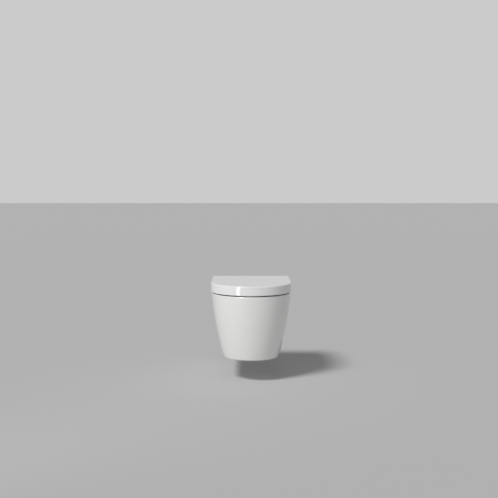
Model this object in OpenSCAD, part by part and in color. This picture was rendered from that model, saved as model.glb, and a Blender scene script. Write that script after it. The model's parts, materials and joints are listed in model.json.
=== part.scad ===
// Wall hung toilet: a hollow ceramic pan with its trap, wall fixings, hinges, seat and wrap-over lid.
// The origin is on the wall plane, midway between the two fixing studs. +Y points into the wall, +Z is up.

/* [Pan] */
// Width of the pan at its rim
pan_w = 364; // [350:1:380]
// Length of the pan, from the wall to the front of the rim
pan_len = 567; // [540:1:600]
// Height of the pan body, from its base to its rim
pan_h = 297; // [290:1:310]
// Width of the pan at its base
base_w = 252; // [230:1:280]
// Bulge of the side curve, out from the straight line between rim and base
side_bulge = 9; // [5:0.5:13]
// Height of the rim above the wall fixings
rim_above_fixings = 80; // [76:1:86]
// Rounding of the rim's outer edge
rim_edge_r = 4.5; // [3:0.5:6]
// Rounding of the base's edge
base_edge_r = 8; // [6:0.5:10]
// Thickness of the outer walls
shell_t = 10; // [9:0.5:12]
// Thickness of the closed base
base_t = 9; // [8:0.5:11]
// Thickness of the deck and rim
deck_t = 14; // [12:0.5:16]
// Rounding of the corners inside the shell
cavity_corner_r = 6; // [4:0.5:8]

/* [Basin and trap] */
// Width of the basin's opening
opening_w = 262; // [250:1:268]
// Distance from the wall to the basin's opening
deck_len = 184; // [180:1:190]
// Rounding of the opening's edge
opening_edge_r = 5; // [3:0.5:6]
// Height of the basin's upright wall under the rim
basin_upright = 40; // [34:1:46]
// Depth of the basin's curved floor below its upright wall
basin_depth = 150; // [140:1:156]
// Thickness of the basin's wall
basin_t = 10; // [8:0.5:11]
// Radius of the sump at its floor
sump_r = 46; // [42:1:50]
// Radius of the sump where it meets the basin
sump_mouth_r = 64; // [58:1:70]
// Radius of the trapway
trap_r = 26; // [25:0.5:27]
// Depth of the water seal in the trap
seal_depth = 50; // [50:1:52]
// Height of the sump's mouth above the basin's lowest point
sump_mouth_rise = 30; // [24:1:36]
// Ceramic under the trapway and sump
trap_floor_t = 10; // [9:0.5:11]
// Thickness of the sump's and trapway's walls
trap_t = 9; // [8:0.5:9]
// Distance from the sump's centre to the trap's first bend
trap_run = 60; // [55:1:65]
// Length of the thicker collar where two stretches of the trapway meet
collar_len = 8; // [6:0.5:10]
// Height of that collar's lip
collar_lip = 0.8; // [0.5:0.1:1.2]

/* [Wall side] */
// Distance between the two wall fixing studs
stud_spacing = 180; // [176:1:184]
// Radius of each stud hole
stud_hole_r = 6.5; // [6.3:0.1:7]
// Height of the flush inlet above the studs
inlet_rise = 35; // [33:1:37]
// Radius of the flush inlet
inlet_r = 27.5; // [26:0.5:29]
// Depth of the flush inlet
inlet_depth = 70; // [60:1:80]
// Radius of the water channel behind the inlet
channel_r = 22; // [20:0.5:24]
// Thickness of the inlet's wall
inlet_t = 8; // [7:0.5:9]
// Distance of the outlet below the studs
outlet_drop = 100; // [98:1:102]
// Outer radius of the outlet spigot
outlet_r = 51; // [49:0.5:53]
// Thickness of the outlet spigot's wall
outlet_t = 6; // [5:0.5:8]
// Slope of the trapway where it falls to the outlet, in degrees
fall_angle = 18; // [16:0.5:22]
// Distance of the spigot's end from the wall
outlet_setback = 2; // [1:0.5:6]
// Space kept free round the spigot for the drain's collar
outlet_space = 13; // [11:1:16]
// Thickness of the fixing web at the back
web_t = 14; // [12:0.5:18]
// Distance of the fixing web's lower edge below the studs
web_drop = 40; // [38:1:46]

/* [Wall brackets] */
// Distance from the bracket's inner end to its stud
bracket_inner = 24; // [20:1:28]
// Distance from the bracket's outer end to the pan's side
bracket_side_gap = 24; // [22:0.5:28]
// Depth of each bracket out from the wall
bracket_depth = 62; // [58:1:70]
// Height of each bracket
bracket_h = 58; // [52:1:62]
// Thickness of the bracket's wall plate
bracket_plate_t = 10; // [8:0.5:12]
// Thickness of the bracket's two shelves
bracket_shelf_t = 6; // [5:0.5:8]
// Room in the bracket from its stud to the block that takes the clamp screw
bracket_nut_room = 28; // [24:1:30]
// Gap between a bracket and the clamp sleeve
sleeve_gap = 2; // [1.5:0.1:3]
// Gap between a bracket and its window in the fixing web
bracket_gap = 1; // [0.5:0.1:2]
// Radius of the stud washers
washer_r = 12; // [11:0.5:14]
// Thickness of the stud washers
washer_t = 2.5; // [2:0.1:3]
// Width of the stud nuts across their flats
nut_flats = 18; // [17:0.5:19]
// Height of the stud nuts
nut_h = 10; // [8:0.5:11]
// Radius of the studs that the nuts go on
stud_r = 6; // [5.5:0.1:6]
// Distance of the clamp screws from the wall
clamp_y = 40; // [36:1:44]
// Radius of the clamp screw
clamp_r = 4; // [3:0.5:4.5]
// Length of the clamp screw under its head
clamp_len = 56; // [50:1:60]
// Radius of the clamp screw's head
clamp_head_r = 6.3; // [5.8:0.1:6.5]
// Height of the clamp screw's head
clamp_head_h = 5; // [4:0.5:6]
// Radius of the hexagon socket in that head, across its corners
clamp_socket_r = 3.2; // [2.6:0.1:4]
// Radius of the clamp hole in the pan's side
clamp_hole_r = 8; // [7.8:0.1:9]
// Radius of the caps over the clamp screws
cap_r = 10.5; // [10:0.5:13]
// Thickness of those caps
cap_t = 1.6; // [1.2:0.1:2.5]
// Depth that each cap reaches into its hole
cap_stem = 3; // [2:0.5:4]

/* [Lid] */
// Distance that the lid stands out past the pan's rim
lid_overhang = 3; // [2:0.5:5]
// Height of the lid's band
lid_h = 42; // [40:1:44]
// Gap between the rim and the lid's band
lid_gap = 5; // [4:0.5:7]
// Distance from the wall to the lid's back edge
lid_back = 126; // [120:1:132]
// Thickness of the lid's top
lid_top_t = 5; // [4:0.5:6]
// Thickness of the lid's band
lid_wall_t = 4; // [3:0.5:5]
// Rounding of the lid's top edge
lid_edge_r = 5; // [3:0.5:6]
// Rounding of the lid's top edge at the back
lid_back_edge_r = 4; // [2:0.5:5]
// Rounding of the band's lower edge
lid_lip_r = 2; // [1:0.5:2.5]
// Height of the short wall at the lid's back
lid_back_h = 15; // [13:0.5:16]
// Height of the bosses that hold the lid's bumpers
lid_boss_h = 8; // [7:0.5:9]
// Radius of those bosses
lid_boss_r = 8; // [7:0.5:9]
// Radius of the lid's bumpers
lid_bumper_r = 6.5; // [5:0.5:7]
// Angle of the lid's front bumpers from straight ahead
lid_bumper_angle = 50; // [40:1:60]
// Distance of the lid's rear bumpers behind the centre of the front curve
lid_bumper_behind = 115; // [90:1:130]

/* [Seat] */
// Gap between the seat and the lid's band
seat_clear = 3; // [2:0.5:4]
// Width of the seat's ring
seat_ring_w = 60; // [54:1:64]
// Thickness of the seat
seat_t = 20; // [17:0.5:21]
// Height of the seat above the rim
seat_lift = 8; // [7:0.5:9]
// Width of the seat behind its hole
seat_back_w = 73; // [66:1:80]
// Radius of the hole's back corners
seat_corner_r = 40; // [30:1:60]
// Rounding of the seat's outer top edge
seat_outer_edge_r = 5; // [3:0.5:7]
// Rounding of the seat's inner top edge
seat_inner_edge_r = 8; // [5:0.5:9]
// Rounding of the seat's lower edges
seat_low_edge_r = 2; // [1:0.5:3]
// Distance from the seat's back edge to the hinge axis
seat_to_axis = 47; // [46:1:54]
// Length of each arm's root inside the seat
seat_arm_root = 15; // [10:1:20]
// Distance from the hinge axis to the bend in each arm
seat_arm_bend = 24; // [20:1:28]
// Rise of the arm's underside up to that bend
seat_arm_rise = 4; // [2:0.5:6]
// Radius of the seat's bumpers
seat_bumper_r = 9; // [7:0.5:10]
// Angle of the seat's front bumpers from straight ahead
seat_bumper_angle = 32; // [20:1:40]
// Distance of the seat's rear bumpers behind the centre of the front curve
seat_bumper_behind = 150; // [130:1:160]

/* [Hinges] */
// Distance between the two hinge posts
hinge_spacing = 155; // [140:1:165]
// Distance of the hinge axis behind the lid's back edge
hinge_behind = 13; // [12:0.5:15]
// Distance of the hinge axis below the lid's top
hinge_drop = 10.5; // [10:0.5:11]
// Radius of the knuckles and post heads
knuckle_r = 8; // [7.5:0.1:8.5]
// Length of each knuckle
knuckle_w = 24; // [20:1:28]
// Width of each post
post_w = 15; // [12:0.5:18]
// Gap between a post and the knuckle beside it
knuckle_gap = 0.5; // [0.3:0.1:0.8]
// Radius of the hinge pins
pin_r = 3.5; // [3:0.1:4]
// Radius of the damper cartridges and bushes
cartridge_r = 6; // [5.5:0.1:6.3]
// Radial clearance of a pin in its bore
pin_clear = 0.05; // [0.03:0.01:0.08]
// Radius of the pin's head
pin_head_r = 6; // [5:0.5:6.5]
// Thickness of the pin's head
pin_head_t = 2; // [1.5:0.1:3]
// Thickness of the pin's clip
clip_t = 1.2; // [1:0.1:1.5]
// Distance that the pin reaches past its clip
pin_tip = 1; // [0.5:0.1:2]
// Radius of the flange under each post
flange_r = 20; // [18:0.5:22]
// Thickness of that flange
flange_t = 5; // [4:0.1:5.5]
// Distance that the flange stands out past the post
flange_margin = 2; // [1:0.5:3]
// Extra width of the post's front at its foot
post_flare = 3; // [1:0.5:4]
// Thickness of the rubber gasket under the flange
gasket_t = 1.5; // [1:0.1:2]
// Distance from the hinge axis forward to the deck hole
deck_hole_ahead = 23; // [22:0.5:26]
// Radius of the deck hole
deck_hole_r = 7.5; // [7:0.1:8]
// Radius of the hinge bolt
bolt_r = 3; // [2.5:0.1:3.5]
// Radius of the hinge bolt's head
bolt_head_r = 6; // [5:0.1:6.5]
// Height of the hinge bolt's head
bolt_head_h = 4; // [3:0.1:5]
// Radius of the hexagon socket in that head, across its corners
bolt_socket_r = 2.4; // [2:0.1:3]
// Distance that the bolt reaches past its nut
bolt_tip = 2; // [1:0.5:4]
// Length of the expanding plug
plug_len = 24; // [20:1:28]
// Radius of the nut under the plug, across its corners
plug_nut_r = 6.5; // [6:0.1:7]
// Height of the nut under the plug
plug_nut_h = 6; // [5:0.5:7]

/* [Flush distributor] */
// Width of the distributor
distributor_w = 72; // [66:1:80]
// Height of the distributor
distributor_h = 52; // [48:1:56]
// Thickness of the distributor's hood
distributor_t = 10; // [8:0.5:12]
// Gap between the hood and the basin's back wall
hood_gap = 3; // [2.5:0.5:5]
// Thickness of the hood's own walls
hood_wall_t = 3; // [2:0.5:3.5]
// Length of the stem in the water channel
stem_len = 15; // [12:1:20]
// Thickness of the stem's wall
stem_t = 4; // [3:0.5:5]
// Height of its side slots
slot_h = 30; // [24:1:34]

/* [Fits] */
// Gap left under a bumper that rests on its seat
rest_gap = 0.3; // [0.2:0.05:0.5]
// Gap between fixed pieces that slide together
slip = 0.1; // [0.05:0.05:0.2]

/* [Hidden] */
$fn = 64;
// Overshoot of a cut past the face that it opens
over = 1;
// Straight steps in a small rounding and in a long curve
edge_steps = 6;
curve_steps = 16;
// Break left inside each collar of the trapway, in millimetres and in degrees
collar_break = 0.4;
// Share of the knuckle's radius at which the corners of the seat's arm lie inside it, and their angles
arm_tuck = 0.98;
arm_top_angle = 204;
arm_low_angle = 258;
LEFT = -1;
RIGHT = 1;

// Pan
pan_r = pan_w / 2;
base_r = base_w / 2;
rim_z = rim_above_fixings;
base_z = rim_z - pan_h;
front_centre_y = pan_r - pan_len;
side_chord = norm([pan_r - base_r, pan_h]);
side_r = (side_chord * side_chord / 4 + side_bulge * side_bulge) / (2 * side_bulge);
side_centre_x = (pan_r + base_r) / 2 - (side_r - side_bulge) * pan_h / side_chord;
side_centre_z = (rim_z + base_z) / 2 + (side_r - side_bulge) * (pan_r - base_r) / side_chord;

// Basin and trap
opening_r = opening_w / 2;
basin_back_y = -deck_len - opening_r;
upright_z = rim_z - basin_upright;
sump_centre_z = base_z + trap_floor_t + sump_r;
sump_mouth_z = upright_z - basin_depth + sump_mouth_rise;
sump_y = basin_back_y;
trap_floor_z = base_z + trap_floor_t + trap_r;
bend_r = trap_r + seal_depth / 2;
bend_low_y = sump_y + trap_run;
bend_high_y = bend_low_y + 2 * bend_r;
bend_z = trap_floor_z + bend_r;
fall_y = bend_high_y + bend_r * sin(fall_angle);
fall_z = bend_z + bend_r * cos(fall_angle);
outlet_z = -outlet_drop;
bracket_x = stud_spacing / 2 - bracket_inner;
bracket_w = side_x(0, 0) - bracket_side_gap - bracket_x;
outlet_bore_r = outlet_r - outlet_t;
fall_len = (fall_z - outlet_z) / sin(fall_angle);
outlet_start_y = fall_y + fall_len * cos(fall_angle) - outlet_bore_r * sin(fall_angle) - collar_len / 4;

// Lid, seat and hinge
lid_r = pan_r + lid_overhang;
lid_low_z = rim_z + lid_gap;
lid_top_z = lid_low_z + lid_h;
lid_back_y = -lid_back;
axis_y = lid_back_y + hinge_behind;
axis_z = lid_top_z - hinge_drop;
seat_r = lid_r - lid_wall_t - seat_clear;
seat_hole_r = seat_r - seat_ring_w;
seat_low_z = rim_z + seat_lift;
seat_top_z = seat_low_z + seat_t;
seat_back_y = axis_y - seat_to_axis;
seat_hole_back_y = seat_back_y - seat_back_w;
ring_mid_r = seat_r - seat_ring_w / 2;
post_x = hinge_spacing / 2;
seat_knuckle_x = post_x - post_w / 2 - knuckle_gap - knuckle_w;
lid_knuckle_x = post_x + post_w / 2 + knuckle_gap;
deck_hole_y = axis_y - deck_hole_ahead;
flange_z = rim_z + gasket_t;
flange_top_z = flange_z + flange_t;

// Points of an arc round [cx, cy], in equal steps of angle
function arc(cx, cy, r, from, to, steps) =
    [for (i = [0:steps]) let (a = from + (to - from) * i / steps) [cx + r * cos(a), cy + r * sin(a)]];

// The same arc without its two end points
function arc_inside(cx, cy, r, from, to, steps) =
    [for (i = [1:steps - 1]) let (a = from + (to - from) * i / steps) [cx + r * cos(a), cy + r * sin(a)]];

// Distance from the axis to the side curve at height z, for a wall drawn in by inset
function side_x(z, inset) = side_centre_x + sqrt(pow(side_r - inset, 2) - pow(z - side_centre_z, 2));

// Angle of the side curve's normal at height z, above the horizontal
function side_angle(z, inset) = atan2(z - side_centre_z, side_x(z, inset) - side_centre_x);

// Half section of the pan: flat top and base, bulged side, rounded corners
function pan_outline(inset, top, bottom, top_edge, bottom_edge) =
    let (
        top_centre = top - top_edge,
        low_centre = bottom + bottom_edge,
        top_a = side_angle(top_centre, inset + top_edge),
        low_a = side_angle(low_centre, inset + bottom_edge)
    )
    concat(
        [[0, top]],
        arc(side_x(top_centre, inset + top_edge), top_centre, top_edge, 90, top_a, edge_steps),
        arc_inside(side_centre_x, side_centre_z, side_r - inset, top_a, low_a, curve_steps),
        arc(side_x(low_centre, inset + bottom_edge), low_centre, bottom_edge, low_a, -90, edge_steps),
        [[0, bottom]]
    );

// A quarter ellipse from [r, z] down to a small flat floor at the axis
function dish(r, depth, z) =
    let (points = [
        for (i = [0:curve_steps - 1]) let (a = 90 * i / curve_steps) [r * cos(a), z - depth * sin(a)]
    ])
    concat(points, [[0, points[curve_steps - 1][1]]]);

// Half section of the basin: an upright wall above a dish
function basin_outline(grow, top) =
    concat([[0, top], [opening_r + grow, top]], dish(opening_r + grow, basin_depth + grow, upright_z));

// Half section of the cut that rounds the opening's edge
function opening_edge_outline() =
    concat(
        [[0, rim_z + over], [opening_r + opening_edge_r, rim_z + over]],
        arc(opening_r + opening_edge_r, rim_z - opening_edge_r, opening_edge_r, 90, 180, edge_steps),
        [[0, rim_z - opening_edge_r]]
    );

// Half section of the sump: a cone above a dish
function sump_outline(grow) =
    concat(
        [[0, sump_mouth_z], [sump_mouth_r + grow, sump_mouth_z]],
        dish(sump_r + grow, sump_r + grow, sump_centre_z)
    );

// Section of a bar from x0 to x1 and z0 to z1, with its own rounding on each top edge
function bar_outline(x0, x1, z0, z1, inner_edge, outer_edge, low_edge) =
    concat(
        arc(x1 - low_edge, z0 + low_edge, low_edge, -90, 0, edge_steps),
        arc(x1 - outer_edge, z1 - outer_edge, outer_edge, 0, 90, edge_steps),
        arc(x0 + inner_edge, z1 - inner_edge, inner_edge, 90, 180, edge_steps),
        arc(x0 + low_edge, z0 + low_edge, low_edge, 180, 270, edge_steps)
    );

// A half section that starts and ends on the upright axis, joined to its mirror image
function both_halves(points) =
    concat(points, [for (i = [len(points) - 2:-1:1]) [-points[i][0], points[i][1]]]);

// The right side as modelled, or its mirror image on the left
module on_side(side) {
    mirror([side < 0 ? 1 : 0, 0, 0]) children();
}

// Half a turn of a section round the front, centred on the upright line at y
module front_turn(y) {
    translate([0, y, 0]) rotate([0, 0, 180]) rotate_extrude(angle = 180) children();
}

// Half a turn of a section round the back
module back_turn(y) {
    translate([0, y, 0]) rotate_extrude(angle = 180) children();
}

// Both sides of a section, run straight from y0 back to y1
module side_run(y0, y1) {
    translate([0, y1, 0]) rotate([90, 0, 0]) linear_extrude(y1 - y0) {
        children();
        mirror([1, 0]) children();
    }
}

// A half section that meets the axis, run straight from y0 back to y1 as one solid
module full_run(points, y0, y1) {
    translate([0, y1, 0]) rotate([90, 0, 0]) linear_extrude(y1 - y0) polygon(both_halves(points));
}

// A D in plan: the half section turned round the front, then run straight back to y1
module d_solid(points, y1) {
    front_turn(front_centre_y) polygon(points);
    full_run(points, front_centre_y, y1);
}

// A long round in plan: the half section turned round both ends of the basin
module oval_solid(points) {
    front_turn(front_centre_y) polygon(points);
    full_run(points, front_centre_y, basin_back_y);
    back_turn(basin_back_y) polygon(points);
}

// A section drawn in Y and Z, run along X from x0 to x1
module across(x0, x1) {
    translate([x0, 0, 0]) rotate([90, 0, 90]) linear_extrude(x1 - x0) children();
}

// A round bar along X, from x0 to x1 on the hinge axis
module on_axis(r, x0, x1) {
    translate([x0, axis_y, axis_z]) rotate([0, 90, 0]) cylinder(r = r, h = x1 - x0);
}

// A round bar along Y, from y0 to y1
module along_y(r, x, z, y0, y1) {
    translate([x, y1, z]) rotate([90, 0, 0]) cylinder(r = r, h = y1 - y0);
}

// The frame of a clamp screw: its origin on the pan's side, with +X straight out of the curved wall
module clamp_frame() {
    translate([side_x(0, 0), -clamp_y, 0]) rotate([0, -side_angle(0, 0), 0]) rotate([0, 90, 0]) children();
}

// A quarter bend of the trapway, or a little more, in the plane of Y and Z
module trap_bend(y, from_angle, sweep, r) {
    translate([0, y, bend_z]) rotate([90, 0, 90]) rotate([0, 0, from_angle + collar_break])
        rotate_extrude(angle = sweep - 2 * collar_break) translate([bend_r, 0]) circle(r = r);
}

// Collar over the joint of two stretches
module trap_collar(y, z, tilt, r) {
    translate([0, y, z]) rotate([tilt, 0, 0]) cylinder(r = r + collar_lip, h = collar_len, center = true);
}

// The trapway: out of the sump, up over the weir and down into the outlet
module trapway(grow, outlet_grow, end_y) {
    r = trap_r + grow;
    outlet = outlet_bore_r + outlet_grow;
    along_y(r, 0, trap_floor_z, sump_y, bend_low_y - collar_break);
    trap_collar(bend_low_y, trap_floor_z, 90, r);
    trap_bend(bend_low_y, -90, 90, r);
    trap_collar(bend_low_y + bend_r, bend_z, 0, r);
    trap_bend(bend_high_y, 90 - fall_angle, 90 + fall_angle, r);
    trap_collar(fall_y, fall_z, -90 - fall_angle, r);
    translate([0, fall_y, fall_z]) rotate([-90 - fall_angle, 0, 0]) translate([0, 0, collar_break])
        cylinder(r1 = r, r2 = outlet - collar_lip, h = fall_len);
    along_y(outlet, 0, outlet_z, outlet_start_y - outlet_grow, end_y);
}

// The web across the back that hangs on the brackets
module fixing_web() {
    difference() {
        intersection() {
            full_run(pan_outline(shell_t / 2, rim_z - deck_t / 2, base_z, over, over), -web_t, 0);
            translate([-pan_w, -web_t, -web_drop]) cube([2 * pan_w, web_t, rim_z + web_drop]);
        }
        along_y(outlet_r + outlet_space, 0, outlet_z, -web_t - over, over);
    }
}

module bracket_window(side) {
    on_side(side)
        translate([bracket_x - bracket_gap, -web_t - over, -bracket_h / 2 - bracket_gap])
            cube([bracket_w + 2 * bracket_gap, web_t + 2 * over, bracket_h + bracket_gap]);
}

module bowl() {
    outer = pan_outline(0, rim_z, base_z, rim_edge_r, base_edge_r);
    hollow = pan_outline(shell_t, rim_z - deck_t, base_z + base_t, cavity_corner_r, cavity_corner_r);
    color([0.95, 0.95, 0.94])
    difference() {
        union() {
            difference() {
                d_solid(outer, 0);
                d_solid(hollow, over);
            }
            oval_solid(basin_outline(basin_t, rim_z - deck_t / 2));
            translate([0, sump_y, 0]) rotate_extrude() polygon(sump_outline(trap_t));
            trapway(trap_t, outlet_t, -outlet_setback);
            along_y(inlet_r + inlet_t, 0, inlet_rise, basin_back_y + opening_r, 0);
            fixing_web();
        }
        oval_solid(basin_outline(0, rim_z + over));
        oval_solid(opening_edge_outline());
        translate([0, sump_y, 0]) rotate_extrude() polygon(sump_outline(0));
        trapway(0, 0, over);
        along_y(inlet_r, 0, inlet_rise, -inlet_depth, over);
        along_y(channel_r, 0, inlet_rise, basin_back_y + opening_r / 2, over);
        for (side = [LEFT, RIGHT]) {
            bracket_window(side);
            on_side(side) clamp_frame()
                translate([0, 0, -2 * shell_t]) cylinder(r = clamp_hole_r, h = 3 * shell_t);
            translate([side * post_x, deck_hole_y, rim_z - 2 * deck_t])
                cylinder(r = deck_hole_r, h = 2 * deck_t + over);
        }
    }
}

module wall_bracket(side) {
    pocket_w = bracket_inner + bracket_nut_room;
    color([0.28, 0.29, 0.31])
    on_side(side)
    difference() {
        translate([bracket_x, -bracket_depth, -bracket_h / 2]) cube([bracket_w, bracket_depth, bracket_h]);
        translate([bracket_x - over, -bracket_depth - over, -bracket_h / 2 + bracket_shelf_t])
            cube([pocket_w + over, bracket_depth - bracket_plate_t + over, bracket_h - 2 * bracket_shelf_t]);
        along_y(stud_hole_r, stud_spacing / 2, 0, -bracket_depth, over);
        clamp_frame() translate([0, 0, -2 * bracket_w]) cylinder(r = clamp_r + slip, h = 2 * bracket_w);
    }
}

module stud_washers() {
    color([0.72, 0.73, 0.75])
    for (side = [LEFT, RIGHT])
        difference() {
            along_y(washer_r, side * stud_spacing / 2, 0, -bracket_plate_t - washer_t, -bracket_plate_t);
            along_y(stud_hole_r, side * stud_spacing / 2, 0, -bracket_plate_t - 2 * washer_t, 0);
        }
}

module stud_nuts() {
    nut_y = -bracket_plate_t - washer_t;
    color([0.72, 0.73, 0.75])
    for (side = [LEFT, RIGHT])
        difference() {
            translate([side * stud_spacing / 2, nut_y, 0]) rotate([90, 0, 0])
                cylinder(r = nut_flats / 2 / cos(30), h = nut_h, $fn = 6);
            along_y(stud_r + pin_clear, side * stud_spacing / 2, 0, nut_y - nut_h - over, nut_y + over);
        }
}

// Sleeve between the pan's side and the bracket, with a pocket for the screw's head
module side_sleeves() {
    sleeve_end = bracket_x + bracket_w + sleeve_gap - side_x(0, 0);
    color([0.90, 0.90, 0.88])
    for (side = [LEFT, RIGHT]) on_side(side) clamp_frame()
        difference() {
            translate([0, 0, sleeve_end])
                cylinder(r = clamp_hole_r - slip, h = -cap_stem - slip - sleeve_end);
            translate([0, 0, sleeve_end - over]) cylinder(r = clamp_r + slip, h = -sleeve_end);
            translate([0, 0, -cap_stem - 2 * slip - clamp_head_h])
                cylinder(r = clamp_head_r + slip, h = clamp_head_h + cap_stem);
        }
}

module side_screws() {
    color([0.72, 0.73, 0.75])
    for (side = [LEFT, RIGHT]) on_side(side) clamp_frame()
        translate([0, 0, -cap_stem - 2 * slip - clamp_head_h])
            difference() {
                union() {
                    cylinder(r = clamp_head_r, h = clamp_head_h);
                    translate([0, 0, -clamp_len]) cylinder(r = clamp_r, h = clamp_len + over);
                }
                translate([0, 0, clamp_head_h / 2])
                    cylinder(r = clamp_socket_r, h = clamp_head_h, $fn = 6);
            }
}

module screw_cap(side) {
    color([0.94, 0.94, 0.93])
    on_side(side) clamp_frame()
        difference() {
            union() {
                translate([0, 0, slip]) cylinder(r1 = cap_r, r2 = cap_r - cap_t, h = cap_t);
                translate([0, 0, -cap_stem]) cylinder(r = clamp_hole_r - slip, h = cap_stem + 2 * slip);
            }
            translate([0, 0, -cap_stem - over]) cylinder(r = clamp_hole_r - slip - cap_t, h = cap_stem);
        }
}

// Upright tube round the basin's rear centre line, open at both ends
module hood_ring(outer_r, inner_r, low_z, h) {
    translate([0, basin_back_y, low_z]) difference() {
        cylinder(r = outer_r, h = h);
        translate([0, 0, -over]) cylinder(r = inner_r, h = h + 2 * over);
    }
}

// Hood on the basin's back wall, with a stem in the water channel and a slot at each side
module flush_distributor() {
    hood_r = opening_r - hood_gap;
    hood_low_z = inlet_rise - distributor_h / 2;
    stem_y = basin_back_y + hood_r;
    color([0.90, 0.91, 0.92])
    difference() {
        union() {
            intersection() {
                hood_ring(hood_r, hood_r - distributor_t, hood_low_z, distributor_h);
                translate([-distributor_w / 2, basin_back_y, hood_low_z])
                    cube([distributor_w, opening_w, distributor_h]);
            }
            along_y(channel_r - slip, 0, inlet_rise, stem_y - distributor_t / 2, stem_y + stem_len);
        }
        intersection() {
            hood_ring(hood_r - hood_wall_t, hood_r - distributor_t + hood_wall_t,
                inlet_rise - slot_h / 2, slot_h);
            translate([-distributor_w, basin_back_y, hood_low_z])
                cube([2 * distributor_w, opening_w, distributor_h]);
        }
        along_y(channel_r - stem_t, 0, inlet_rise, stem_y - distributor_t + hood_wall_t,
            stem_y + stem_len + over);
    }
}

// Plan of the flange and gasket: a disc round the bolt, run back under the post
module flange_plan() {
    translate([post_x, deck_hole_y]) circle(r = flange_r);
    translate([post_x - post_w / 2 - flange_margin, deck_hole_y])
        square([post_w + 2 * flange_margin, deck_hole_ahead + knuckle_r + flange_margin]);
}

module hinge_post(side) {
    foot_z = flange_top_z - axis_z;
    color([0.78, 0.79, 0.81])
    on_side(side)
    difference() {
        union() {
            translate([0, 0, flange_z]) linear_extrude(flange_t) flange_plan();
            translate([0, axis_y, axis_z]) across(post_x - post_w / 2, post_x + post_w / 2)
                polygon([
                    [-knuckle_r - post_flare, foot_z - over], [knuckle_r, foot_z - over],
                    [knuckle_r, 0], [-knuckle_r, 0]
                ]);
            on_axis(knuckle_r, post_x - post_w / 2, post_x + post_w / 2);
        }
        on_axis(pin_r + pin_clear, post_x - post_w, post_x + post_w);
        translate([post_x, deck_hole_y, flange_z - over])
            cylinder(r = bolt_r + slip, h = flange_t + 2 * over);
    }
}

module hinge_gaskets() {
    color([0.12, 0.12, 0.12])
    for (side = [LEFT, RIGHT]) on_side(side)
        difference() {
            translate([0, 0, rim_z]) linear_extrude(gasket_t) flange_plan();
            translate([post_x, deck_hole_y, rim_z - over])
                cylinder(r = bolt_r + slip, h = gasket_t + 2 * over);
        }
}

module expanding_plugs() {
    color([0.16, 0.16, 0.16])
    for (side = [LEFT, RIGHT])
        translate([side * post_x, deck_hole_y, rim_z - plug_len])
            difference() {
                cylinder(r = deck_hole_r - slip, h = plug_len);
                translate([0, 0, -over]) cylinder(r = bolt_r + slip, h = plug_len + 2 * over);
            }
}

module plug_nuts() {
    color([0.72, 0.73, 0.75])
    for (side = [LEFT, RIGHT])
        translate([side * post_x, deck_hole_y, rim_z - plug_len - plug_nut_h])
            difference() {
                cylinder(r = plug_nut_r, h = plug_nut_h, $fn = 6);
                translate([0, 0, -over]) cylinder(r = bolt_r + pin_clear, h = plug_nut_h + 2 * over);
            }
}

module hinge_bolts() {
    shank = flange_top_z - rim_z + plug_len + plug_nut_h + bolt_tip;
    color([0.72, 0.73, 0.75])
    for (side = [LEFT, RIGHT])
        translate([side * post_x, deck_hole_y, flange_top_z])
            difference() {
                union() {
                    cylinder(r = bolt_head_r, h = bolt_head_h);
                    translate([0, 0, -shank]) cylinder(r = bolt_r, h = shank + over);
                }
                translate([0, 0, bolt_head_h / 2])
                    cylinder(r = bolt_socket_r, h = bolt_head_h, $fn = 6);
            }
}

module hinge_pin(side) {
    head_x = seat_knuckle_x - knuckle_gap;
    end_x = lid_knuckle_x + knuckle_w + knuckle_gap + clip_t + pin_tip;
    color([0.80, 0.81, 0.83])
    on_side(side) {
        on_axis(pin_head_r, head_x - pin_head_t, head_x);
        on_axis(pin_r, head_x - over, end_x);
    }
}

module pin_clips() {
    clip_x = lid_knuckle_x + knuckle_w + knuckle_gap;
    color([0.35, 0.36, 0.38])
    for (side = [LEFT, RIGHT]) on_side(side)
        difference() {
            on_axis(pin_head_r, clip_x, clip_x + clip_t);
            on_axis(pin_r + pin_clear, clip_x - over, clip_x + clip_t + over);
        }
}

// A cartridge or bush inside a knuckle that starts at x, bored for the pin
module cartridge(side, x) {
    on_side(side)
    difference() {
        on_axis(cartridge_r, x, x + knuckle_w);
        on_axis(pin_r + pin_clear, x - over, x + knuckle_w + over);
    }
}

// The bore of a knuckle that holds a cartridge
module knuckle_bore(side, x) {
    on_side(side) on_axis(cartridge_r + pin_clear, x - over, x + knuckle_w + over);
}

// Arm from the seat's back edge up to its knuckle
module seat_arm(side) {
    root_y = -seat_to_axis - seat_arm_root;
    top_z = seat_top_z - axis_z - seat_low_edge_r;
    low_z = seat_low_z - axis_z + seat_low_edge_r;
    corner_r = arm_tuck * knuckle_r;
    on_side(side) {
        translate([0, axis_y, axis_z]) across(seat_knuckle_x, seat_knuckle_x + knuckle_w)
            polygon([
                [root_y, top_z], [-seat_arm_bend, top_z],
                corner_r * [cos(arm_top_angle), sin(arm_top_angle)],
                corner_r * [cos(arm_low_angle), sin(arm_low_angle)],
                [-seat_arm_bend, low_z + seat_arm_rise], [-seat_to_axis, low_z], [root_y, low_z]
            ]);
        on_axis(knuckle_r, seat_knuckle_x, seat_knuckle_x + knuckle_w);
    }
}

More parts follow.
